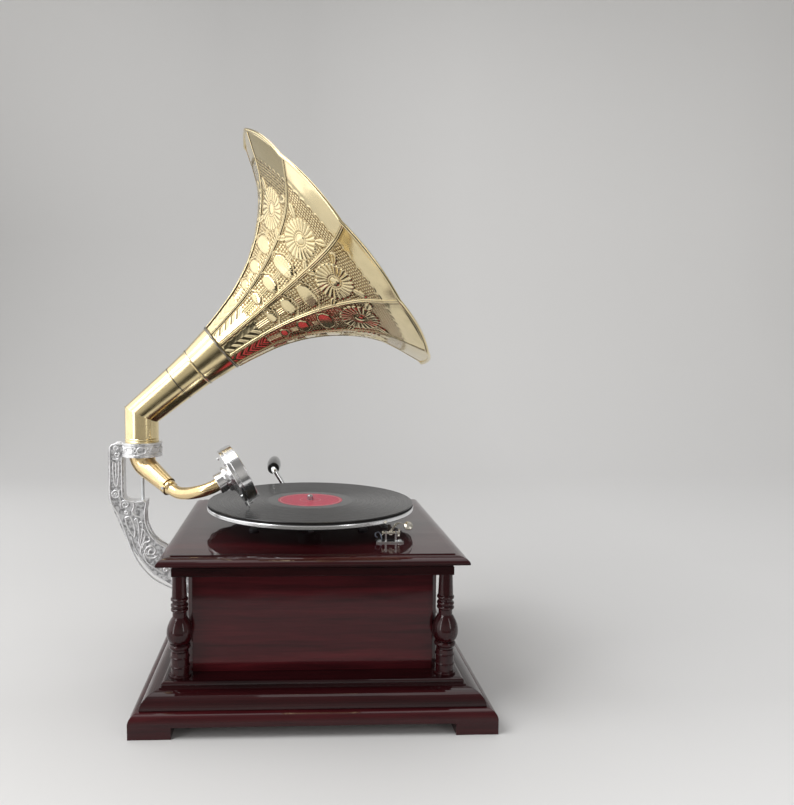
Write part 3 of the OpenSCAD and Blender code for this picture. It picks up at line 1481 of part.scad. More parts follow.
feet();
base_board();
base_moulding();
wood_screws();
front_panel();
back_panel();
side_panels();
corner_pillars();
frieze();
top_board();
motor_plates();
motor_pillars();
motor_washers();
motor_bolts();
spring_barrel();
barrel_cover();
mainspring();
winding_arbor();
intermediate_wheel();
spindle();
worm_wheel();
governor_shaft();
friction_disc();
governor_weights();
governor_springs();
governor_bearings();
speed_lever();
winding_bearing();
click_pawl();
winding_shaft();
crank_escutcheon();
crank_rod();
crank_handle();
turntable();
turntable_felt();
record();
record_label();
brake_base();
brake_rod();
brake_lever();
brake_pad();
brake_spring();
bracket();
pivot_pin();
tone_arm();
crook_pins();
crook();
soundbox_back();
soundbox_body();
soundbox_screws();
diaphragm();
gaskets();
stylus_bar();
needle_screw();
needle();
elbow();
horn_neck();
horn_petals();
horn_seams();
horn_wire();
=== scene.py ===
import json
import math

import bpy
import numpy as np
from mathutils import Matrix, Vector

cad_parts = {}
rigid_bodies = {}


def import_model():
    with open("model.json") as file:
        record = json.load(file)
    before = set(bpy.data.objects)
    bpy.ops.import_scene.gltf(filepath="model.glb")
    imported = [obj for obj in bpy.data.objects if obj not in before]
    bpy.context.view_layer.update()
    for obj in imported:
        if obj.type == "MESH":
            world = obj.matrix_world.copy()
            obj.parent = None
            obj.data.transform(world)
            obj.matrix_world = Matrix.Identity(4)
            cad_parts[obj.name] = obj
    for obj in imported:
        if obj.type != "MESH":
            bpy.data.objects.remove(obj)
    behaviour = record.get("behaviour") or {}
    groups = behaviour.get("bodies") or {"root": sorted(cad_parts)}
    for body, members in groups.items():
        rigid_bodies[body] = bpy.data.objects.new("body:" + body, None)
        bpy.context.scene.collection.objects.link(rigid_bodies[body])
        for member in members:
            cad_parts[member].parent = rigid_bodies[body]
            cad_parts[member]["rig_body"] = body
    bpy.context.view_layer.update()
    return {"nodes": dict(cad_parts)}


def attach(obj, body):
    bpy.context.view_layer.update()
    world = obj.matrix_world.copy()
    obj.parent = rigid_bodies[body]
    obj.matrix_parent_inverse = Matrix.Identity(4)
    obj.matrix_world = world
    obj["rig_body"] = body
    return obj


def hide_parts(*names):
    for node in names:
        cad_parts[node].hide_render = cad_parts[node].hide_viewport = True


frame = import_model()
node = frame["nodes"]


# Base of the cabinet: four square feet under a full board with a rounded top edge.
# Mahogany stained dark wine red, glued and screwed from below, then lacquered to a high gloss.
cabinet_middle = np.array((28.9, -41.3, 0.0))


def in_frame(points):
    """Millimetres from the floor under the cabinet's middle, as metres in the shared frame."""
    return (np.asarray(points) + cabinet_middle) / 1000


def at(x, y, z):
    """One such point, as a vector."""
    return Vector(in_frame((x, y, z)))


def surface_of(finish):
    return finish.node_tree.nodes["Principled BSDF"]


def shader(name):
    """A new material, with its node tree and its surface node."""
    finish = bpy.data.materials.new(name)
    finish.use_nodes = True
    return finish, finish.node_tree, surface_of(finish)


def fill(made, inputs):
    """Gives a shader node's sockets their values or links."""
    for key, value in inputs.items():
        if isinstance(value, bpy.types.NodeSocket):
            made.id_data.links.new(value, made.inputs[key])
        else:
            made.inputs[key].default_value = value


def add(tree, kind, inputs, **settings):
    """A node of that kind. inputs gives its sockets by name or number, as values or links."""
    made = tree.nodes.new("ShaderNode" + kind)
    for key, value in settings.items():
        setattr(made, key, value)
    fill(made, inputs)
    return made


def ramp(tree, factor, *stops):
    """A colour ramp with stops of (place, colour), as an output socket."""
    made = add(tree, "ValToRGB", {"Fac": factor})
    elements = made.color_ramp.elements
    while len(elements) < len(stops):
        elements.new(0.5)
    for element, (place, colour) in zip(elements, stops):
        element.position = place
        element.color = (*colour, 1)
    return made.outputs["Color"]


def maths(tree, what, *values):
    return add(tree, "Math", dict(enumerate(values)), operation=what).outputs[0]


def blend(tree, share, first, second, how="MIX"):
    return add(tree, "MixRGB", {"Fac": share, "Color1": first, "Color2": second}, blend_type=how).outputs[0]


def noise(tree, place, scale, detail, roughness=0.5, distortion=0.0):
    return add(tree, "TexNoise", {"Vector": place, "Scale": scale, "Detail": detail, "Roughness": roughness,
                                  "Distortion": distortion}).outputs[0]


def position(tree):
    return add(tree, "TexCoord", {}).outputs["Object"]


def stretched(tree, place, scale):
    return add(tree, "Mapping", {"Vector": place, "Scale": scale}).outputs[0]


def centred(tree, scale=(1, 1, 1)):
    """Position measured from the cabinet's middle, where the spindle stands."""
    return add(tree, "Mapping", {"Vector": position(tree), "Location": -at(0, 0, 0),
                                 "Scale": scale}).outputs[0]


def bumped(tree, height, strength, distance, over):
    """A bump on top of another normal."""
    return add(tree, "Bump", {"Height": height, "Strength": strength, "Distance": distance,
                              "Normal": over}).outputs[0]


def soft_edges(tree, radius):
    return add(tree, "Bevel", {"Radius": radius}, samples=4).outputs[0]


def mahogany(name, grain, strength=1.0):
    """Lacquered wood. grain is x or z, or rails where it follows each side of the cabinet."""
    finish, tree, surface = shader(name)
    place = centred(tree)
    if grain == "rails":
        part = add(tree, "SeparateXYZ", {0: place}).outputs
        side = maths(tree, "GREATER_THAN", maths(tree, "ABSOLUTE", part[0]), maths(tree, "ABSOLUTE", part[1]))
        turned = add(tree, "CombineXYZ", {0: part[1], 1: part[0], 2: part[2]}).outputs[0]
        place = blend(tree, side, place, turned)
    along, across = 3, 55
    fibres = stretched(tree, place, (across, across, along) if grain == "z" else (along, across, across))
    bands = noise(tree, fibres, 1.0, 3.0, distortion=0.6)
    pores = noise(tree, fibres, 7.0, 6.0, roughness=0.65)
    figure = maths(tree, "ADD", maths(tree, "MULTIPLY", bands, 0.65), maths(tree, "MULTIPLY", pores, 0.35))
    stains = ((0.3, (0.013, 0.0012, 0.0020)), (0.5, (0.042, 0.0030, 0.0052)), (0.72, (0.085, 0.0075, 0.0105)))
    stops = [(stop, [tone * strength for tone in stain]) for stop, stain in stains]
    lacquer_waves = noise(tree, stretched(tree, place, (9, 22, 22)), 1.0, 2.0)
    edges = soft_edges(tree, 0.0006)
    fill(surface, {"Base Color": ramp(tree, figure, *stops), "Roughness": 0.5, "Specular IOR Level": 0.05,
                   "Coat Weight": 1.0, "Coat Roughness": 0.035, "Coat IOR": 1.4,
                   "Coat Normal": bumped(tree, lacquer_waves, 0.1, 0.004, edges),
                   "Normal": bumped(tree, pores, 0.15, 0.0002, edges)})
    return finish


def wear(finish, *names):
    """Gives CAD nodes their finish."""
    for name in names:
        slots = node[name].data.materials
        slots.clear()
        slots.append(finish)


board_wood = mahogany("board_wood", "x", 0.75)
wear(board_wood, "feet", "base_board")


# Plinth moulding, panels and frieze: rails and boards of the same wood, mitred and glued at the corners.
# The moulding slopes in from the base board and carries the panels, which are rubbed to a softer gloss.
rail_wood = mahogany("rail_wood", "rails", 0.42)
panel_wood = mahogany("panel_wood", "rails", 1.25)
fill(surface_of(panel_wood), {"Coat Roughness": 0.1, "Coat IOR": 1.36})
wear(rail_wood, "base_moulding", "frieze")
wear(panel_wood, "front_panel", "back_panel", "side_panels")


# Corner pillars and top board: four turned posts, pegged into the moulding and the frieze.
# The board has a moulded edge and lies on the frieze, which it covers on all sides.
turned_wood = mahogany("turned_wood", "z", 0.5)
wear(turned_wood, "corner_pillars")
wear(board_wood, "top_board")


# Motor: steel and brass parts that hang from the top board inside the cabinet, on bolts with rubber washers.
# Plates and barrel are stamped steel, the wheels are cut brass, and the springs are blued strip.
def span(tree, value, start, end, low=0.0, high=1.0, how="LINEAR"):
    """Goes from low at start to high at end."""
    return add(tree, "MapRange", {"Value": value, "From Min": start, "From Max": end, "To Min": low,
                                  "To Max": high}, interpolation_type=how).outputs[0]


def metal(name, colour, roughness, scratch=0.3, grime=0.25):
    """Bare or plated metal, with fine rubbing marks and a little tarnish."""
    finish, tree, surface = shader(name)
    place = position(tree)
    cloud = noise(tree, place, 60.0, 5.0, roughness=0.6)
    tarnished = [tone * (1 - grime) for tone in colour]
    gloss = span(tree, cloud, 0.3, 0.7, roughness + 0.06, max(roughness - 0.04, 0.01))
    rubbing = noise(tree, stretched(tree, place, (300, 300, 900)), 1.0, 3.0)
    fill(surface, {"Base Color": ramp(tree, cloud, (0.35, tarnished), (0.62, colour)), "Metallic": 1.0,
                   "Roughness": gloss,
                   "Normal": bumped(tree, rubbing, scratch * 0.3, 0.0001, soft_edges(tree, 0.0004))})
    return finish


def plain(name, colour, roughness, speck=0.3, size=400.0, bump=0.2):
    """A dull material, such as rubber or felt, with a mottled surface."""
    finish, tree, surface = shader(name)
    cloud = noise(tree, position(tree), size, 5.0)
    low = [tone * (1 - speck) for tone in colour]
    high = [min(tone * (1 + speck), 1) for tone in colour]
    grain = add(tree, "Bump", {"Height": cloud, "Strength": bump, "Distance": 0.0003}).outputs[0]
    fill(surface, {"Base Color": ramp(tree, cloud, (0.3, low), (0.7, high)), "Roughness": roughness,
                   "Normal": grain})
    return finish


steel = metal("steel", (0.52, 0.53, 0.55), 0.3)
black_steel = metal("black_steel", (0.05, 0.05, 0.055), 0.35)
spring_steel = metal("spring_steel", (0.22, 0.24, 0.30), 0.28)
cut_brass = metal("cut_brass", (0.76, 0.58, 0.28), 0.26)
rubber = plain("rubber", (0.02, 0.02, 0.02), 0.75)
wear(black_steel, "motor_bolts")
wear(rubber, "motor_washers")
wear(steel, "motor_plates", "motor_pillars", "spring_barrel", "barrel_cover", "winding_arbor", "spindle",
     "governor_shaft", "speed_lever", "winding_bearing", "click_pawl", "winding_shaft", "wood_screws")
wear(spring_steel, "mainspring", "governor_springs")
wear(cut_brass, "intermediate_wheel", "worm_wheel", "friction_disc", "governor_weights", "governor_bearings")


# Crank: a bent steel rod through an escutcheon in the back panel, with a turned handle.
# The handle is dark polished wood that spins on the rod, and its end wears a bright washer.
chrome = metal("chrome", (0.84, 0.85, 0.86), 0.07, scratch=0.05, grime=0.06)
black_wood = mahogany("black_wood", "z")
black_stain = black_wood.node_tree.nodes["Color Ramp"].color_ramp.elements
for element, tone in zip(black_stain, (0.004, 0.009, 0.016)):
    element.color = (tone * 1.15, tone, tone, 1)
wear(chrome, "crank_escutcheon", "crank_rod")
wear(black_wood, "crank_handle")


# Deck: a steel turntable with a felt mat, and on it a shellac record, whose paper label has two thin rings.
# The turntable's rim is nickel plated, the rest is painted dark, and its up-facing top has painted shade.
def variant(finish, name):
    """A copy of a finish that is to be changed, with its node tree and its surface node."""
    made = finish.copy()
    made.name = name
    return made, made.node_tree, surface_of(made)


def tint(surface, share, colour):
    """Mixes another colour into a surface, by a share that differs from place to place."""
    socket = surface.inputs["Base Color"]
    mixed = blend(surface.id_data, share, socket.links[0].from_socket, colour)
    fill(surface, {"Base Color": mixed})


def facing(tree, axis):
    """How far the true surface looks along x, y or z, from -1 to 1."""
    normal = add(tree, "NewGeometry", {}).outputs["True Normal"]
    return add(tree, "SeparateXYZ", {0: normal}).outputs["XYZ".index(axis)]


def reach_from_spindle(tree):
    """Distance from the spindle's axis in metres."""
    return add(tree, "VectorMath", {0: centred(tree, (1, 1, 0))}, operation="LENGTH").outputs["Value"]


def plated_rim(name):
    """Nickel plate, with the middle and underside in dark paint and the top edge in painted shade."""
    finish, tree, surface = variant(chrome, name)
    plate_start = 0.115
    up = facing(tree, "Z")
    underside = maths(tree, "LESS_THAN", up, -0.6)
    middle = maths(tree, "LESS_THAN", reach_from_spindle(tree), plate_start)
    # Painted shade: the up-facing top between the record and the rim is darkened like the paint
    shaded_top_edge = maths(tree, "GREATER_THAN", up, 0.55)
    paint_and_shade = maths(tree, "MAXIMUM", maths(tree, "MAXIMUM", underside, middle), shaded_top_edge)
    tint(surface, paint_and_shade, (0.02, 0.02, 0.022, 1))
    fill(surface, {"Metallic": maths(tree, "SUBTRACT", 1.0, paint_and_shade),
                   "Roughness": maths(tree, "MULTIPLY_ADD", paint_and_shade, 0.4, 0.22)})
    return finish


def shellac(name):
    """Black shellac, with fine grooves between the plain ring round the label and the plain edge."""
    finish, tree, surface = shader(name)
    groove_start, groove_end, groove_pitch = 0.052, 0.1215, 0.0009
    reach = reach_from_spindle(tree)
    groove = maths(tree, "SINE", maths(tree, "MULTIPLY", reach, 2 * math.pi / groove_pitch))
    bands = add(tree, "TexNoise", {"W": maths(tree, "MULTIPLY", reach, 900.0), "Scale": 1.0, "Detail": 4.0},
                noise_dimensions="1D").outputs[0]
    grooved = maths(tree, "GREATER_THAN", reach, groove_start)
    before_edge = maths(tree, "LESS_THAN", reach, groove_end)
    height = maths(tree, "MULTIPLY", maths(tree, "MULTIPLY", groove, grooved), before_edge)
    rough = span(tree, bands, 0.3, 0.7, 0.22, 0.30)
    plain_ring = maths(tree, "MULTIPLY", maths(tree, "SUBTRACT", 1.0, grooved), 0.12)
    round_axis = add(tree, "Tangent", {}, direction_type="RADIAL", axis="Z").outputs[0]
    black = ramp(tree, bands, (0.3, (0.006, 0.006, 0.0065)), (0.7, (0.016, 0.016, 0.0155)))
    cut = add(tree, "Bump", {"Height": height, "Strength": 0.12, "Distance": 0.00005}).outputs[0]
    fill(surface, {"Base Color": black, "Roughness": maths(tree, "SUBTRACT", rough, plain_ring),
                   "Anisotropic": 0.85, "Anisotropic Rotation": 0.25, "Tangent": round_axis, "Normal": cut})
    return finish


felt = plain("felt", (0.06, 0.045, 0.04), 0.95, speck=0.5, size=900.0, bump=0.6)
label_paper = plain("label_paper", (0.58, 0.035, 0.090), 0.4, speck=0.12, size=300.0, bump=0.05)
label_tree = label_paper.node_tree
label_reach = reach_from_spindle(label_tree)
outer_ring_r, inner_ring_r = 0.0368, 0.0125
outer_ring = maths(label_tree, "COMPARE", label_reach, outer_ring_r, 0.0004)
inner_ring = maths(label_tree, "COMPARE", label_reach, inner_ring_r, 0.0003)
printed = maths(label_tree, "MAXIMUM", outer_ring, inner_ring)
tint(surface_of(label_paper), maths(label_tree, "MULTIPLY", printed, 0.6), (0.75, 0.62, 0.5, 1))
wear(plated_rim("turntable_plate"), "turntable")
wear(felt, "turntable_felt")
wear(shellac("record_black"), "record")
wear(label_paper, "record_label")


# Brake: a chromed base with two ears, and a nickelled lever on its hinge rod with a thumb disc at the end.
# A felt pad on the lever's arm rubs the turntable's rim, and a wire spring on the rod presses it there.
def alone(made):
    """Links a new object and leaves it as the only one selected, for the operators."""
    bpy.context.scene.collection.objects.link(made)
    bpy.ops.object.select_all(action="DESELECT")
    made.select_set(True)
    bpy.context.view_layer.objects.active = made
    return made


def smoothed_copy(name, source, angle, finish):
    """A copy of a CAD node's shape with its loose triangles merged and its tubes shaded smooth."""
    made = alone(bpy.data.objects.new(name, node[source].data.copy()))
    if made.data.has_custom_normals:
        bpy.ops.mesh.customdata_custom_splitnormals_clear()
    bpy.ops.object.mode_set(mode="EDIT")
    bpy.ops.mesh.select_all(action="SELECT")
    bpy.ops.mesh.remove_doubles(threshold=0.00001)
    bpy.ops.object.mode_set(mode="OBJECT")
    bpy.ops.object.shade_smooth_by_angle(angle=math.radians(angle))
    made.data.materials.clear()
    made.data.materials.append(finish)
    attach(made, node[source]["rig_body"])
    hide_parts(source)
    return made


brake_metal = metal("brake_metal", (0.78, 0.74, 0.65), 0.2, scratch=0.2, grime=0.3)
wear(chrome, "brake_base")
wear(brake_metal, "brake_rod", "brake_lever")
wear(felt, "brake_pad")
smoothed_copy("brake_wire_spring", "brake_spring", 40, spring_steel)


# Bracket: one casting, bolted to the cabinet's side, whose ring carries the horn and the arm.
# Its faces are cast in relief, with a raised border, scrolls and a fan of leaves, and are nickel plated.
# A plain steel pin stands in the opening between its ring and its foot.
cast_metal = metal("cast_metal", (0.90, 0.90, 0.91), 0.36, scratch=0.9, grime=0.2)
fill(surface_of(cast_metal), {"Metallic": 0.7})


def casting_with_painted_shade(name):
    """The casting's skin, pitted, and darker on the two flat faces as painted shade in the relief's ground.
    """
    finish, tree, surface = variant(cast_metal, name)
    shaded_flat_face = maths(tree, "GREATER_THAN", maths(tree, "ABSOLUTE", facing(tree, "Y")), 0.95)
    pits = noise(tree, position(tree), 300.0, 2.0)
    # Painted shade with pitting: the flat faces are mixed toward a dark mottled grey
    tint(surface, maths(tree, "MULTIPLY", shaded_flat_face, 0.85),
         ramp(tree, pits, (0.38, (0.22, 0.22, 0.23)), (0.58, (0.74, 0.74, 0.76))))
    return finish


pin_steel = metal("pin_steel", (0.86, 0.90, 0.93), 0.4)
fill(surface_of(pin_steel), {"Metallic": 0.5})
wear(casting_with_painted_shade("cast_skin_and_shade"), "bracket")
wear(pin_steel, "pivot_pin")


def tubes(name, lines, thickness, sides=2):
    """Round tubes along lines of (points in metres, closed), made as one curve and turned into a mesh."""
    line = bpy.data.curves.new(name, "CURVE")
    line.dimensions = "3D"
    line.bevel_depth = thickness
    line.bevel_resolution = sides
    line.use_fill_caps = True
    for points, closed in lines:
        spline = line.splines.new("POLY")
        spline.points.add(len(points) - 1)
        for knot, point in zip(spline.points, points):
            knot.co = (*point, 1)
        spline.use_cyclic_u = closed
    alone(bpy.data.objects.new(name, line))
    bpy.ops.object.convert(target="MESH")
    bpy.ops.object.shade_smooth()
    return bpy.context.object


def flowing(points, steps=6):
    """A smooth line through points, with that many steps between each two."""
    line = np.array(points, float)
    ends = np.vstack([line[:1], line, line[-1:]])
    made = []
    for k in range(len(line) - 1):
        a, b, c, d = ends[k:k + 4]
        for t in np.arange(steps) / steps:
            made.append(0.5 * (2 * b + (c - a) * t + (2 * a - 5 * b + 4 * c - d) * t * t
                               + (3 * b - 3 * c + d - a) * t ** 3))
    return np.array(made + [line[-1]])


def scroll(x, z, start, turns, small, large):
    """A spiral on the casting's face, from its small end outward, in millimetres."""
    knots_per_turn = 22
    share = np.arange(int(turns * knots_per_turn) + 1) / int(turns * knots_per_turn)
    angle = math.radians(start) + 2 * math.pi * turns * share
    reach = small + (large - small) * share
    return np.stack([x + reach * np.cos(angle), z + reach * np.sin(angle)], -1)


# The border, then the ornament from the ring's neck down to the foot
relief_lines = [
    flowing([(-141.5, 86.5), (-168, 96), (-193, 110), (-211, 132), (-222.5, 160), (-231, 184),
             (-241.6, 205.5), (-241.8, 235), (-241.8, 263), (-240.5, 271), (-234.5, 274.2), (-229, 274.2)]),
    flowing([(-141.5, 135.5), (-168, 143), (-190, 157), (-199.5, 175), (-201, 190), (-200, 203.2),
             (-212, 203.2), (-220, 204.5), (-226, 208.5), (-227.6, 214), (-227.6, 240), (-227.6, 257)]),
    scroll(-233.6, 269, 200, 1.1, 1.0, 3.2), scroll(-233.2, 261.4, 20, 1.1, 1.0, 3.2),
    flowing([(-238.5, 256.2), (-234, 255.4), (-230.6, 256.2)]),
    flowing([(-237.6, 253), (-238.0, 240), (-236.4, 226), (-234.6, 222.5)]),
    flowing([(-231.2, 253), (-231.2, 240), (-232.6, 226), (-234.6, 222.5)]),
    flowing([(-234.6, 251), (-234.6, 232)]),
    scroll(-235.4, 213.2, 90, 1.0, 4.4, 4.4), scroll(-235.4, 213.2, 90, 1.0, 1.4, 1.4),
    np.vstack([scroll(-224.4, 200.4, 0, 1.6, 1.2, 5.6),
               flowing([(-229.5, 205), (-231.4, 211), (-231.0, 218)])]),
    scroll(-222.6, 190.2, 140, 1.2, 0.8, 2.6),
    flowing([(-215.6, 204.0), (-213.4, 198), (-216.0, 191.5), (-212, 186.6), (-204.6, 184.6)]),
    flowing([(-224.5, 184), (-219, 185.4), (-215.2, 178), (-212.6, 168), (-213.6, 160)]),
    flowing([(-224.5, 184), (-222.4, 175), (-218.6, 167), (-213.6, 160)]),
    flowing([(-213.4, 181), (-210.4, 183), (-208.4, 176), (-207.6, 164), (-208.2, 152)]),
    flowing([(-207.6, 178), (-204.2, 178.6), (-203.4, 172), (-205.2, 160), (-207.2, 150)]),
    flowing([(-202.8, 170), (-200.6, 166), (-201.6, 158), (-205.4, 149), (-206.6, 141)]),
    flowing([(-197.6, 161), (-194.6, 158), (-196.8, 154.6), (-201.8, 153), (-204.6, 146)]),
    np.vstack([scroll(-193.6, 142.6, 60, 1.75, 1.4, 9.4),
               flowing([(-202.8, 139.6), (-199, 130), (-190, 122.4), (-178, 115)])]),
    flowing([(-217.6, 161), (-213.6, 148), (-206.4, 134.6), (-196, 122)]),
    flowing([(-184.6, 137), (-180, 130), (-172, 124.6), (-160, 119.4), (-148, 116)]),
    scroll(-176.5, 119.6, 10, 1.0, 2.2, 2.2), scroll(-165, 108.5, 10, 1.6, 1.0, 4.6),
    flowing([(-158, 128), (-150, 125.6), (-143, 124.6)]), flowing([(-156, 104), (-149, 101), (-143, 99.6)])]
cast_half, relief_thick = 7.5, 0.00105
relief_parts = []
for side, face in (("front", -cast_half), ("back", cast_half)):
    lines = [(in_frame(np.insert(line, 1, face, axis=1)).tolist(), False) for line in relief_lines]
    relief_parts.append(tubes(f"bracket_relief_{side}", lines, relief_thick))
ring_x, ring_z, ring_r = -204.3, 267.5, 22.9
oval_count, oval_knots = 9, 20
for number, (wide, tall, first, thick) in enumerate(((5.6, 4.1, 0, 0.0010), (1.5, 2.4, 20, 0.0008))):
    ovals = []
    for k in range(oval_count):
        middle = math.radians(first + 360 * k / oval_count)
        t = 2 * math.pi * np.arange(oval_knots) / oval_knots
        turn = middle + wide / ring_r * np.cos(t)
        x, y = (ring_r + 0.1) * np.cos(turn), (ring_r + 0.1) * np.sin(turn)
        ovals.append((in_frame(np.stack([ring_x + x, y, ring_z + tall * np.sin(t)], -1)).tolist(), True))
    relief_parts.append(tubes(f"ring_relief_{number}", ovals, thick))
for part_made in relief_parts:
    part_made.data.materials.append(cast_metal)
    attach(part_made, "cabinet")


# Tone arm and crook: drawn brass tube, with a ball joint between them that lets the neck lift.
# The arm tapers from the bracket's ring, and ends in a rolled lip where the crook's ball enters it.
tube_brass = metal("tube_brass", (0.90, 0.69, 0.38), 0.22, scratch=0.2, grime=0.12)
smoothed_copy("arm_tube", "tone_arm", 35, tube_brass)
smoothed_copy("crook_tube", "crook", 35, tube_brass)
wear(steel, "crook_pins")


# Sound box: a nickel-plated body and back plate, screwed together round a thin metal diaphragm.
# Rubber gaskets hold the diaphragm, and a chuck with a thumb screw holds the steel needle.
box_nickel = metal("box_nickel", (0.88, 0.88, 0.89), 0.18, scratch=0.1, grime=0.08)
wear(box_nickel, "soundbox_back", "soundbox_body")
wear(chrome, "soundbox_screws", "stylus_bar", "needle_screw", "needle")
wear(rubber, "gaskets")
wear(metal("diaphragm_sheet", (0.7, 0.7, 0.72), 0.35), "diaphragm")


# Elbow and neck of the horn: sheet brass rolled and soldered, then polished.
# The elbow stands in the bracket's ring and turns there, and a bead hides the joint of neck and petals.
horn_tilt = math.radians(39.8)
horn_axis = np.array((math.cos(horn_tilt), 0.0, math.sin(horn_tilt)))
horn_foot = np.array((-204.3, 0.0, 310.0))


def soldered_tube(name, *joints):
    """Sheet brass with a dark line of solder at each joint, given as (place along the horn, half width)."""
    finish = metal(name, (0.93, 0.77, 0.44), 0.19, scratch=0.15, grime=0.1)
    tree = finish.node_tree
    place = add(tree, "Mapping", {"Vector": position(tree), "Location": -at(*horn_foot)}).outputs[0]
    product = add(tree, "VectorMath", {0: place, 1: horn_axis.tolist()}, operation="DOT_PRODUCT")
    along = product.outputs["Value"]
    solder = 0.0
    for middle, half in joints:
        solder = maths(tree, "MAXIMUM", solder, maths(tree, "COMPARE", along, middle, half))
    tint(surface_of(finish), maths(tree, "MULTIPLY", solder, 0.9), (0.20, 0.19, 0.18, 1))
    return finish


wear(soldered_tube("elbow_brass", (0.0585, 0.0005)), "elbow")
wear(soldered_tube("neck_brass", (0.0592, 0.0005), (0.0896, 0.0006), (0.1262, 0.0019)), "horn_neck")


# Petals: eleven pieces of thin sheet brass that make up the bell, each a little flat between its seams.
# They are pressed with a rosette, leaves, lobes and chevrons over a stippled ground, which is darkened.
petal_count = 11
# The bell's outline, as (along the axis, radius) in millimetres
bell_outline = [(127.6, 30.3), (153, 36), (183, 44.5), (213, 58), (239, 75), (262, 95), (280, 117),
                (291, 139), (297.2, 155), (302.6, 169), (303.6, 172)]


def on_bell(along, radius, share, across, petal, out):
    """A point on a petal in millimetres. share runs from throat to rim, and across from seam to seam."""
    lean, twist, lip_rise, flat_at_throat, flat_at_rim = -10.2, 3.0, 2.8, 0.85, 0.35
    half = math.pi / petal_count
    chord = math.cos(half) / np.cos((across - 0.5) * 2 * half)
    flatness = flat_at_throat + (flat_at_rim - flat_at_throat) * share
    radius = radius * (1 - flatness + flatness * chord) + out
    lip = share ** 8 * lip_rise * (1 - (2 * across - 1) ** 2)
    turn = np.radians(lean + twist * np.sin(np.pi * share)) + (petal + across) * 2 * half
    x, y, z = -radius * np.cos(turn), -radius * np.sin(turn), along + lip
    c, s = math.cos(horn_tilt), math.sin(horn_tilt)
    return np.stack([horn_foot[0] + z * c + x * s, y, horn_foot[2] + z * s - x * c], -1)


def rise(value, start, end):
    """Goes smoothly from 0 at start to 1 at end."""
    t = np.clip((value - start) / (end - start), 0, 1)
    return t * t * (3 - 2 * t)


def ridge(value, middle, width):
    """A rounded ridge of height 1."""
    return np.exp(-((value - middle) / width) ** 2)


def ornament(inward, aside, half):
    """Height of the pressing and share of stippled ground, from the rim inward and beside the middle line."""
    width = np.abs(aside)
    # Stippled field with a scalloped edge toward the rim
    scallop_pitch, scallop_at, scallop_deep, field_end = 11.6, 32.5, 5, 190
    arch = (aside + 0.5 * scallop_pitch) % scallop_pitch / (0.5 * scallop_pitch) - 1
    scallop = scallop_at - scallop_deep * np.sqrt(np.clip(1 - arch ** 2, 0, 1))
    clear_of_seam = rise(half - width, 2.6, 3.6)
    field = rise(inward, scallop, scallop + 1.2) * (1 - rise(inward, field_end, field_end + 2))
    field = field * clear_of_seam
    height = 0.45 * ridge(inward, scallop, 0.9) * clear_of_seam
    shapes = np.zeros_like(field)
    # Rosette of 22 narrow petals round a button
    rosette_at, rosette_petals, rosette_r = 75, 22, 21.6
    away = np.hypot(inward - rosette_at, aside)
    turn = np.arctan2(aside, rosette_at - inward)
    wave = np.abs(np.cos(0.5 * rosette_petals * turn + 1.1 * rise(away, 8, 23)))
    edge = rosette_r + 2.0 * wave
    petals = rise(away, 8.4, 9.6) * (1 - rise(away, edge - 0.8, edge + 0.5)) * wave ** 0.55
    button = np.sqrt(np.clip(1 - (away / 6.2) ** 2, 0, 1)) * 1.5
    inside = 1 - rise(away, 23.4, 24.6)
    shapes = np.maximum(shapes, inside)
    height = np.maximum(height, (petals + button + 0.8 * ridge(away, 7.4, 0.8)) * inside)
    # Leaves beside the rosette, each with a rib
    for place, side, length, breadth, lean_out in ((55, 24, 10, 4.6, 0.9), (95, 22, 8, 3.8, -0.8)):
        for sign in (-1, 1):
            a, b = inward - place, aside * sign - side
            c, s = math.cos(lean_out), math.sin(lean_out)
            far, near = a * c - b * s, a * s + b * c
            body = 1 - np.sqrt((far / length) ** 2 + (near / (breadth * (1 - 0.35 * far / length))) ** 2)
            leaf = rise(body, 0, 0.25)
            shapes = np.maximum(shapes, leaf)
            height = np.maximum(height, leaf * (0.9 - 0.45 * ridge(near, 0, 0.6)))
    # Plain lobes down the middle, with a raised line round their upper side
    for place, wide, tall in ((117, 17.0, 9.0), (145, 12.4, 7.4), (169.5, 8.6, 5.2)):
        shoulder = 0.5 * tall * rise(width, 0.5 * wide, 1.0 * wide)
        up = (inward - place - 0.25 * shoulder) / (tall - 0.5 * shoulder)
        reach = (np.abs(up) ** 2.6 + (width / wide) ** 2.6) ** (1 / 2.6)
        gap = (reach - 1) * tall
        line = ridge(gap, 2.2, 0.8) * (1 - rise(inward, place + 1, place + 5))
        lobe = (1 - rise(gap, -1.5, 0)) * (1 - 0.25 * reach ** 2)
        shapes = np.maximum(shapes, np.maximum(lobe, line))
        height = np.maximum(height, np.maximum(0.95 * lobe, 0.6 * line))
    # Reeded stem between the lobes
    stem_start, reed_pitch = 98, 2.4
    stem = rise(inward, stem_start, stem_start + 2) * (1 - rise(inward, field_end, field_end + 4))
    stem = stem * (1 - rise(width, 3.0, 3.6)) * (1 - shapes)
    height = np.maximum(height, stem * 0.6 * np.cos(math.pi * aside / reed_pitch) ** 2)
    shapes = np.maximum(shapes, stem)
    # Chevrons down to the throat
    chevron_pitch, chevron_end = 9.6, 238
    chevron = (0.5 + 0.5 * np.cos(2 * math.pi * (inward + 0.95 * width - 197) / chevron_pitch)) ** 0.8
    tail = rise(inward, field_end - 1, field_end + 3) * (1 - rise(inward, chevron_end, chevron_end + 3))
    tail = tail * rise(half - width, 2.0, 3.0)
    height = np.maximum(height, tail * 0.45 * chevron)
    # Raised line beside each seam
    height = np.maximum(height, 0.3 * ridge(half - width, 3.0, 0.6) * rise(inward, 24, 30))
    ground = field * (1 - shapes)
    return height - 0.25 * ground, ground


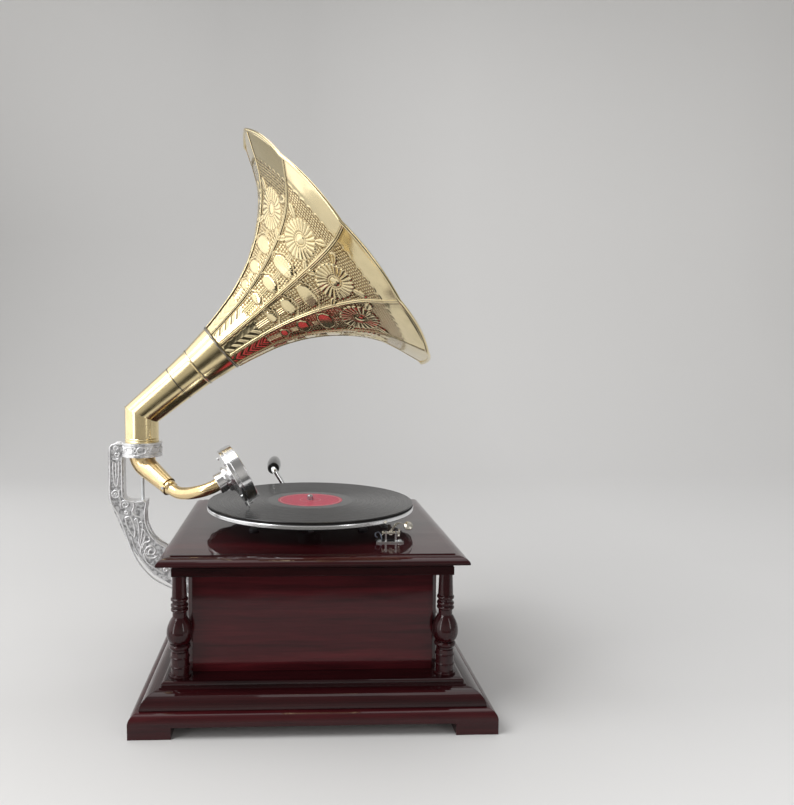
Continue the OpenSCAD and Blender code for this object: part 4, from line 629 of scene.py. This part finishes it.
def stippled_brass(name, shadow):
    """Horn brass, dotted where the ground attribute is set, with painted shade in its hollows and creases."""
    finish, tree, surface = variant(sheet_brass, name)
    dot_pitch = 0.0036
    flat = add(tree, "UVMap", {}, uv_map="pressing").outputs[0]
    away = add(tree, "TexVoronoi", {"Vector": flat, "Scale": 1 / dot_pitch, "Randomness": 0.2},
               voronoi_dimensions="2D").outputs["Distance"]
    ground = add(tree, "Attribute", {}, attribute_name="ground").outputs["Fac"]
    recess = add(tree, "Attribute", {}, attribute_name="recess").outputs["Fac"]
    dome = span(tree, away, 0.2, 0.45, 1.0, 0.0, "SMOOTHSTEP")
    gap = span(tree, away, 0.34, 0.47, how="SMOOTHSTEP")
    between = maths(tree, "MULTIPLY", gap, maths(tree, "MULTIPLY", ground, 0.95))
    # Painted shade: the hollows and creases marked on the mesh take the shadow colour
    shade = maths(tree, "MAXIMUM", between, maths(tree, "MULTIPLY", recess, 0.85))
    tint(surface, shade, (*shadow, 1))
    rubbed = surface.inputs["Normal"].links[0].from_socket
    fill(surface, {"Normal": bumped(tree, maths(tree, "MULTIPLY", dome, ground), 0.6, 0.0005, rubbed)})
    return finish


def seam_half(share):
    """Half the width of a folded seam in millimetres, which grows from throat to rim."""
    return 1.9 + 1.3 * share


sheet_brass = metal("sheet_brass", (0.92, 0.78, 0.47), 0.11, scratch=0.1, grime=0.08)
petal_brass = stippled_brass("petal_brass", (0.30, 0.20, 0.09))
rows, columns, sheet_t, seam_gap = 256, 90, 0.7, 0.004
curve = flowing(bell_outline, 24)
arc = np.r_[0, np.cumsum(np.linalg.norm(np.diff(curve, axis=0), axis=1))]
place = np.linspace(0, arc[-1], rows)
share = np.interp(place, arc, np.linspace(0, 1, len(curve)))[:, None]
along = np.interp(place, arc, curve[:, 0])[:, None]
radius = np.interp(place, arc, curve[:, 1])[:, None]
sides = np.linspace(seam_gap, 1 - seam_gap, columns)[None, :]
half_width = radius * math.pi / petal_count
beside = (sides - 0.5) * 2 * half_width
inward = (arc[-1] - place)[:, None] + 0 * beside
height, ground = ornament(inward, beside, half_width + 0 * beside)
# Painted shade falls where the pressing round a place is higher, and in the crease beside a seam
around_it = height.copy()
for spread in range(3):
    around_it[1:-1, 1:-1] = (around_it[:-2, 1:-1] + around_it[2:, 1:-1] + around_it[1:-1, :-2]
                             + around_it[1:-1, 2:]) / 4
full_dark, crease = 0.22, 0.7
recess = np.clip((around_it - height) / full_dark, 0, 1)
recess = np.maximum(recess, ridge(half_width + beside, seam_half(share) + crease, crease))


def sheet_piece(name, points, faces, **marks):
    """A smooth mesh from points in millimetres, with its marks as attributes and its faces turned outward."""
    mesh = bpy.data.meshes.new(name)
    mesh.from_pydata(in_frame(points).reshape(-1, 3).tolist(), [], faces)
    mesh.polygons.foreach_set("use_smooth", [True] * len(mesh.polygons))
    for key, values in marks.items():
        mark = mesh.attributes.new(key, "FLOAT", "POINT")
        mark.data.foreach_set("value", np.asarray(values, np.float32))
    made = alone(bpy.data.objects.new(name, mesh))
    bpy.ops.object.mode_set(mode="EDIT")
    bpy.ops.mesh.select_all(action="SELECT")
    bpy.ops.mesh.normals_make_consistent(inside=False)
    bpy.ops.object.mode_set(mode="OBJECT")
    return made


def petal(number):
    """One pressed petal: its outer face, its inner face and the edge between them."""
    skin = on_bell(along, radius, share, sides, number, 0.0)
    normal = np.cross(np.gradient(skin, axis=0), np.gradient(skin, axis=1))
    normal = normal / np.linalg.norm(normal, axis=2, keepdims=True)
    # They have to point away from the horn's axis
    probe = skin[10, 30] - horn_foot
    if normal[10, 30] @ (probe - (probe @ horn_axis) * horn_axis) < 0:
        normal = -normal
    outer = skin + normal * height[..., None]
    inner = outer - normal * sheet_t
    index = np.arange(rows * columns).reshape(rows, columns)
    front = np.stack([index[:-1, :-1], index[1:, :-1], index[1:, 1:], index[:-1, 1:]], -1).reshape(-1, 4)
    shift = rows * columns
    rim = np.r_[index[0, :], index[1:, -1], index[-1, -2::-1], index[-2:0:-1, 0]]
    after = np.roll(rim, -1)
    edge = np.stack([rim, after, after + shift, rim + shift], -1)
    faces = np.vstack([front, front[:, ::-1] + shift, edge]).tolist()
    made = sheet_piece(f"horn_petal_{number}", np.stack([outer, inner]), faces,
                       ground=np.tile(ground.ravel(), 2), recess=np.tile(recess.ravel(), 2))
    mesh = made.data
    corner = np.empty(len(mesh.loops), np.int32)
    mesh.loops.foreach_get("vertex_index", corner)
    flat = np.tile(np.stack([beside, inward], -1).reshape(-1, 2) / 1000, (2, 1))
    layer = mesh.uv_layers.new(name="pressing")
    layer.data.foreach_set("uv", flat[corner].astype(np.float32).ravel())
    mesh.materials.append(petal_brass)
    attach(made, "bell")
    return made


petals = [petal(number) for number in range(petal_count)]
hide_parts("horn_petals")


# Seams: the petals' edges are folded over each other into raised double ribs that run from throat to rim.
# The ribs are hammered down and soldered, and painted shade darkens the creases beside and between them.
seam_brass = stippled_brass("seam_brass", (0.12, 0.075, 0.04))
seam_rows = 90
seam_place = np.linspace(0.6, arc[-1] - 0.5, seam_rows)
seam_share = np.interp(seam_place, arc, np.linspace(0, 1, len(curve)))
seam_along = np.interp(seam_place, arc, curve[:, 0])
seam_radius = np.interp(seam_place, arc, curve[:, 1])
# Points across a seam, as (share of its half width, height, painted shade)
rib = [(-1.0, -0.5, 0.8), (-0.96, 0.2, 0.6), (-0.78, 1.1, 0), (-0.45, 1.5, 0), (-0.2, 1.1, 0),
       (-0.12, 0.2, 1), (0.02, 0.2, 1), (0.1, 1.1, 0), (0.3, 1.5, 0), (0.46, 1.3, 0), (0.52, 0.9, 1.2),
       (1.0, -0.5, 1.2)]


def seam(number):
    """One seam, swept from the throat to the rim and closed at both ends."""
    line = []
    for share_here, z, r in zip(seam_share, seam_along, seam_radius):
        reach = seam_half(share_here) / (2 * r * math.pi / petal_count)
        thin = 1 - 0.5 * rise(share_here, 0.9, 1.0)
        for aside, high, shade in rib:
            across = reach * aside
            petal_number, inside = (number, across) if across >= 0 else (number - 1, 1 + across)
            line.append(on_bell(z, r, share_here, np.array(inside), petal_number, high * thin))
    n = len(rib)
    walls = [(i * n + k, (i + 1) * n + k, (i + 1) * n + (k + 1) % n, i * n + (k + 1) % n)
             for i in range(seam_rows - 1) for k in range(n)]
    caps = [tuple(range(n)), tuple(reversed(range((seam_rows - 1) * n, seam_rows * n)))]
    # Painted shade in the creases and along the rib's lower side
    seam_shade = [shade for aside, high, shade in rib] * seam_rows
    made = sheet_piece(f"horn_seam_{number}", np.array(line), walls + caps, recess=seam_shade)
    made.data.materials.append(seam_brass)
    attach(made, "bell")
    return made


seams = [seam(number) for number in range(petal_count)]
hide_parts("horn_seams")


# Rim of the bell: the edge of the sheet is rolled round an iron wire, so that it is stiff and smooth.
# The roll follows the petals, slightly straight between the seams.
roll_steps, roll_out, roll_r = 16, 1.2, 0.0019
rim_line = []
for number in range(petal_count):
    for step in range(roll_steps):
        rim_line.append(on_bell(*bell_outline[-1], 1.0, np.array(step / roll_steps), number, roll_out))
wire = tubes("rim_roll", [(in_frame(rim_line).tolist(), True)], roll_r, 4)
wire.data.materials.append(sheet_brass)
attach(wire, "bell")
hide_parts("horn_wire")


# Photograph set: a sweep of pale grey paper, with a matching floor in front of it that reflections leave out.
# A soft key lamp and a window stand at the left, a strip on each side and a wide lamp above, in a dim room.
# The camera stands where the photograph was taken from.
floor_end, sweep_r, sweep_half = 1.3, 1.1, 5.0
profile = [(-0.55, 0.0), (floor_end, 0.0)]
for step in range(1, 18):
    bend = math.radians(5 * step)
    profile.append((floor_end + sweep_r * math.sin(bend), sweep_r * (1 - math.cos(bend))))
profile.append((floor_end + sweep_r + 0.15, sweep_r + 3.0))
points = [(x, y, z) for x in (-sweep_half, sweep_half) for y, z in profile]
count = len(profile)
sheet = bpy.data.meshes.new("paper_sweep")
sheet.from_pydata(points, [], [(k, count + k, count + k + 1, k + 1) for k in range(count - 1)])
sheet.polygons.foreach_set("use_smooth", [True] * (count - 1))
sweep = bpy.data.objects.new("paper_sweep", sheet)
bpy.context.scene.collection.objects.link(sweep)


def grey(value):
    return (value, value, value)


# The paper's colour holds painted light: lighter at the front edge, toward the right and high on the left
# wall
paper_and_light, tree, surface = shader("grey_paper_and_light")
part = add(tree, "SeparateXYZ", {0: position(tree)}).outputs
light_by_depth = ramp(tree, span(tree, part[1], -0.6, 2.4), (0.05, grey(0.74)), (0.15, grey(0.60)),
            (0.33, grey(0.57)), (0.6, grey(0.60)), (0.9, grey(0.62)))
wide = ramp(tree, span(tree, part[0], -1.5, 2.0), (0.0, (0.66, 0.655, 0.65)), (0.45, (0.68, 0.675, 0.67)),
            (0.65, (0.86, 0.855, 0.85)), (1.0, (1.0, 0.995, 0.99)))
light_high_left = maths(tree, "MULTIPLY", span(tree, part[2], 0.9, 2.2, 0, 0.45), span(tree, part[0], -0.3, -1.5))
light_gain = maths(tree, "MULTIPLY_ADD", light_high_left, 1.4, 1.4)
tone = add(tree, "VectorMath", {0: blend(tree, 1.0, light_by_depth, wide, "MULTIPLY"), 3: light_gain}, operation="SCALE")
fill(surface, {"Base Color": tone.outputs[0], "Roughness": 0.9})
sheet.materials.append(paper_and_light)

bpy.ops.mesh.primitive_grid_add(x_subdivisions=4, y_subdivisions=4, size=1, location=(0, 0, 0))
front_floor = bpy.context.object
front_floor.name = "front_floor"
front_depth = 4
front_place = Matrix.Translation((0, profile[0][0] - front_depth / 2, 0))
front_floor.data.transform(front_place @ Matrix.Diagonal((2 * sweep_half, front_depth, 1, 1)))
front_floor.data.materials.append(paper_and_light)
front_floor.visible_glossy = False


def lamp(name, place, target, size, power):
    """A rectangular lamp that looks at its target, with its size in metres and its power in watts."""
    bpy.ops.object.light_add(type="AREA", location=place)
    made = bpy.context.object
    made.name = name
    made.data.shape = "RECTANGLE"
    made.data.size, made.data.size_y = size
    made.data.energy = power
    made.rotation_euler = (Vector(target) - Vector(place)).to_track_quat("-Z", "Y").to_euler()


lamp("key_lamp", (-1.5, -0.7, 2.2), (0.0, 0.0, 0.25), (1.6, 1.3), 38)
lamp("window", (-1.35, 0.15, 0.8), (0.0, 0.15, 0.62), (2.1, 1.6), 11)
lamp("left_strip", (-1.7, -1.5, 0.7), (-0.1, 0.0, 0.35), (0.5, 1.5), 9)
lamp("right_strip", (1.5, -1.9, 0.9), (0.0, 0.0, 0.35), (0.35, 1.5), 5)
lamp("top_lamp", (0.3, 0.4, 2.6), (0.0, 0.0, 0.2), (2.4, 2.0), 20)

room = bpy.data.worlds.new("studio")
bpy.context.scene.world = room
room.use_nodes = True
tree = room.node_tree
tree.nodes.clear()
part = add(tree, "SeparateXYZ", {0: add(tree, "TexCoord", {}).outputs["Generated"]}).outputs
toward_back, upward = [maths(tree, "MULTIPLY_ADD", part[axis], 0.5, 0.5) for axis in (1, 2)]
walls = ramp(tree, toward_back, (0.1, (0.80, 0.78, 0.74)), (0.6, (0.46, 0.46, 0.45)),
             (0.9, (0.58, 0.58, 0.57)))
wall_light = ramp(tree, upward, (0.35, grey(0.08)), (0.42, grey(0.6)), (0.48, grey(1.0)), (0.60, grey(1.0)),
                  (0.78, grey(0.35)))
ceiling = ramp(tree, upward, (0.5, grey(0.0)), (0.85, (0.75, 0.75, 0.76)))
ceiling_light = ramp(tree, toward_back, (0.25, grey(0.15)), (0.6, grey(1.0)))
room_colour = blend(tree, 1.0, blend(tree, 1.0, walls, wall_light, "MULTIPLY"),
                    blend(tree, 1.0, ceiling, ceiling_light, "MULTIPLY"), "ADD")
glow = add(tree, "Background", {"Color": room_colour, "Strength": 0.6}).outputs[0]
add(tree, "OutputWorld", {"Surface": glow})

yaw, pitch, roll = 0.038, 0.074, 0.003
ahead = Vector((math.sin(yaw) * math.cos(pitch), math.cos(yaw) * math.cos(pitch), -math.sin(pitch)))
right = Vector((math.cos(yaw), -math.sin(yaw), 0))
up = right.cross(ahead)
rolled_right = math.cos(roll) * right + math.sin(roll) * up
rolled_up = -math.sin(roll) * right + math.cos(roll) * up
bpy.ops.object.camera_add()
camera = bpy.context.object
camera.name = "photo_camera"
camera_turn = Matrix((rolled_right, rolled_up, -ahead)).transposed().to_4x4()
camera.matrix_world = Matrix.Translation((0.00628, -0.93032, 0.37924)) @ camera_turn
camera.data.sensor_width = 36
camera.data.lens = 32.657
camera.data.shift_x = 0.0962
camera.data.shift_y = 0.0107
camera.data.clip_end = 50
bpy.context.scene.camera = camera
bpy.context.scene.view_settings.view_transform = "Standard"
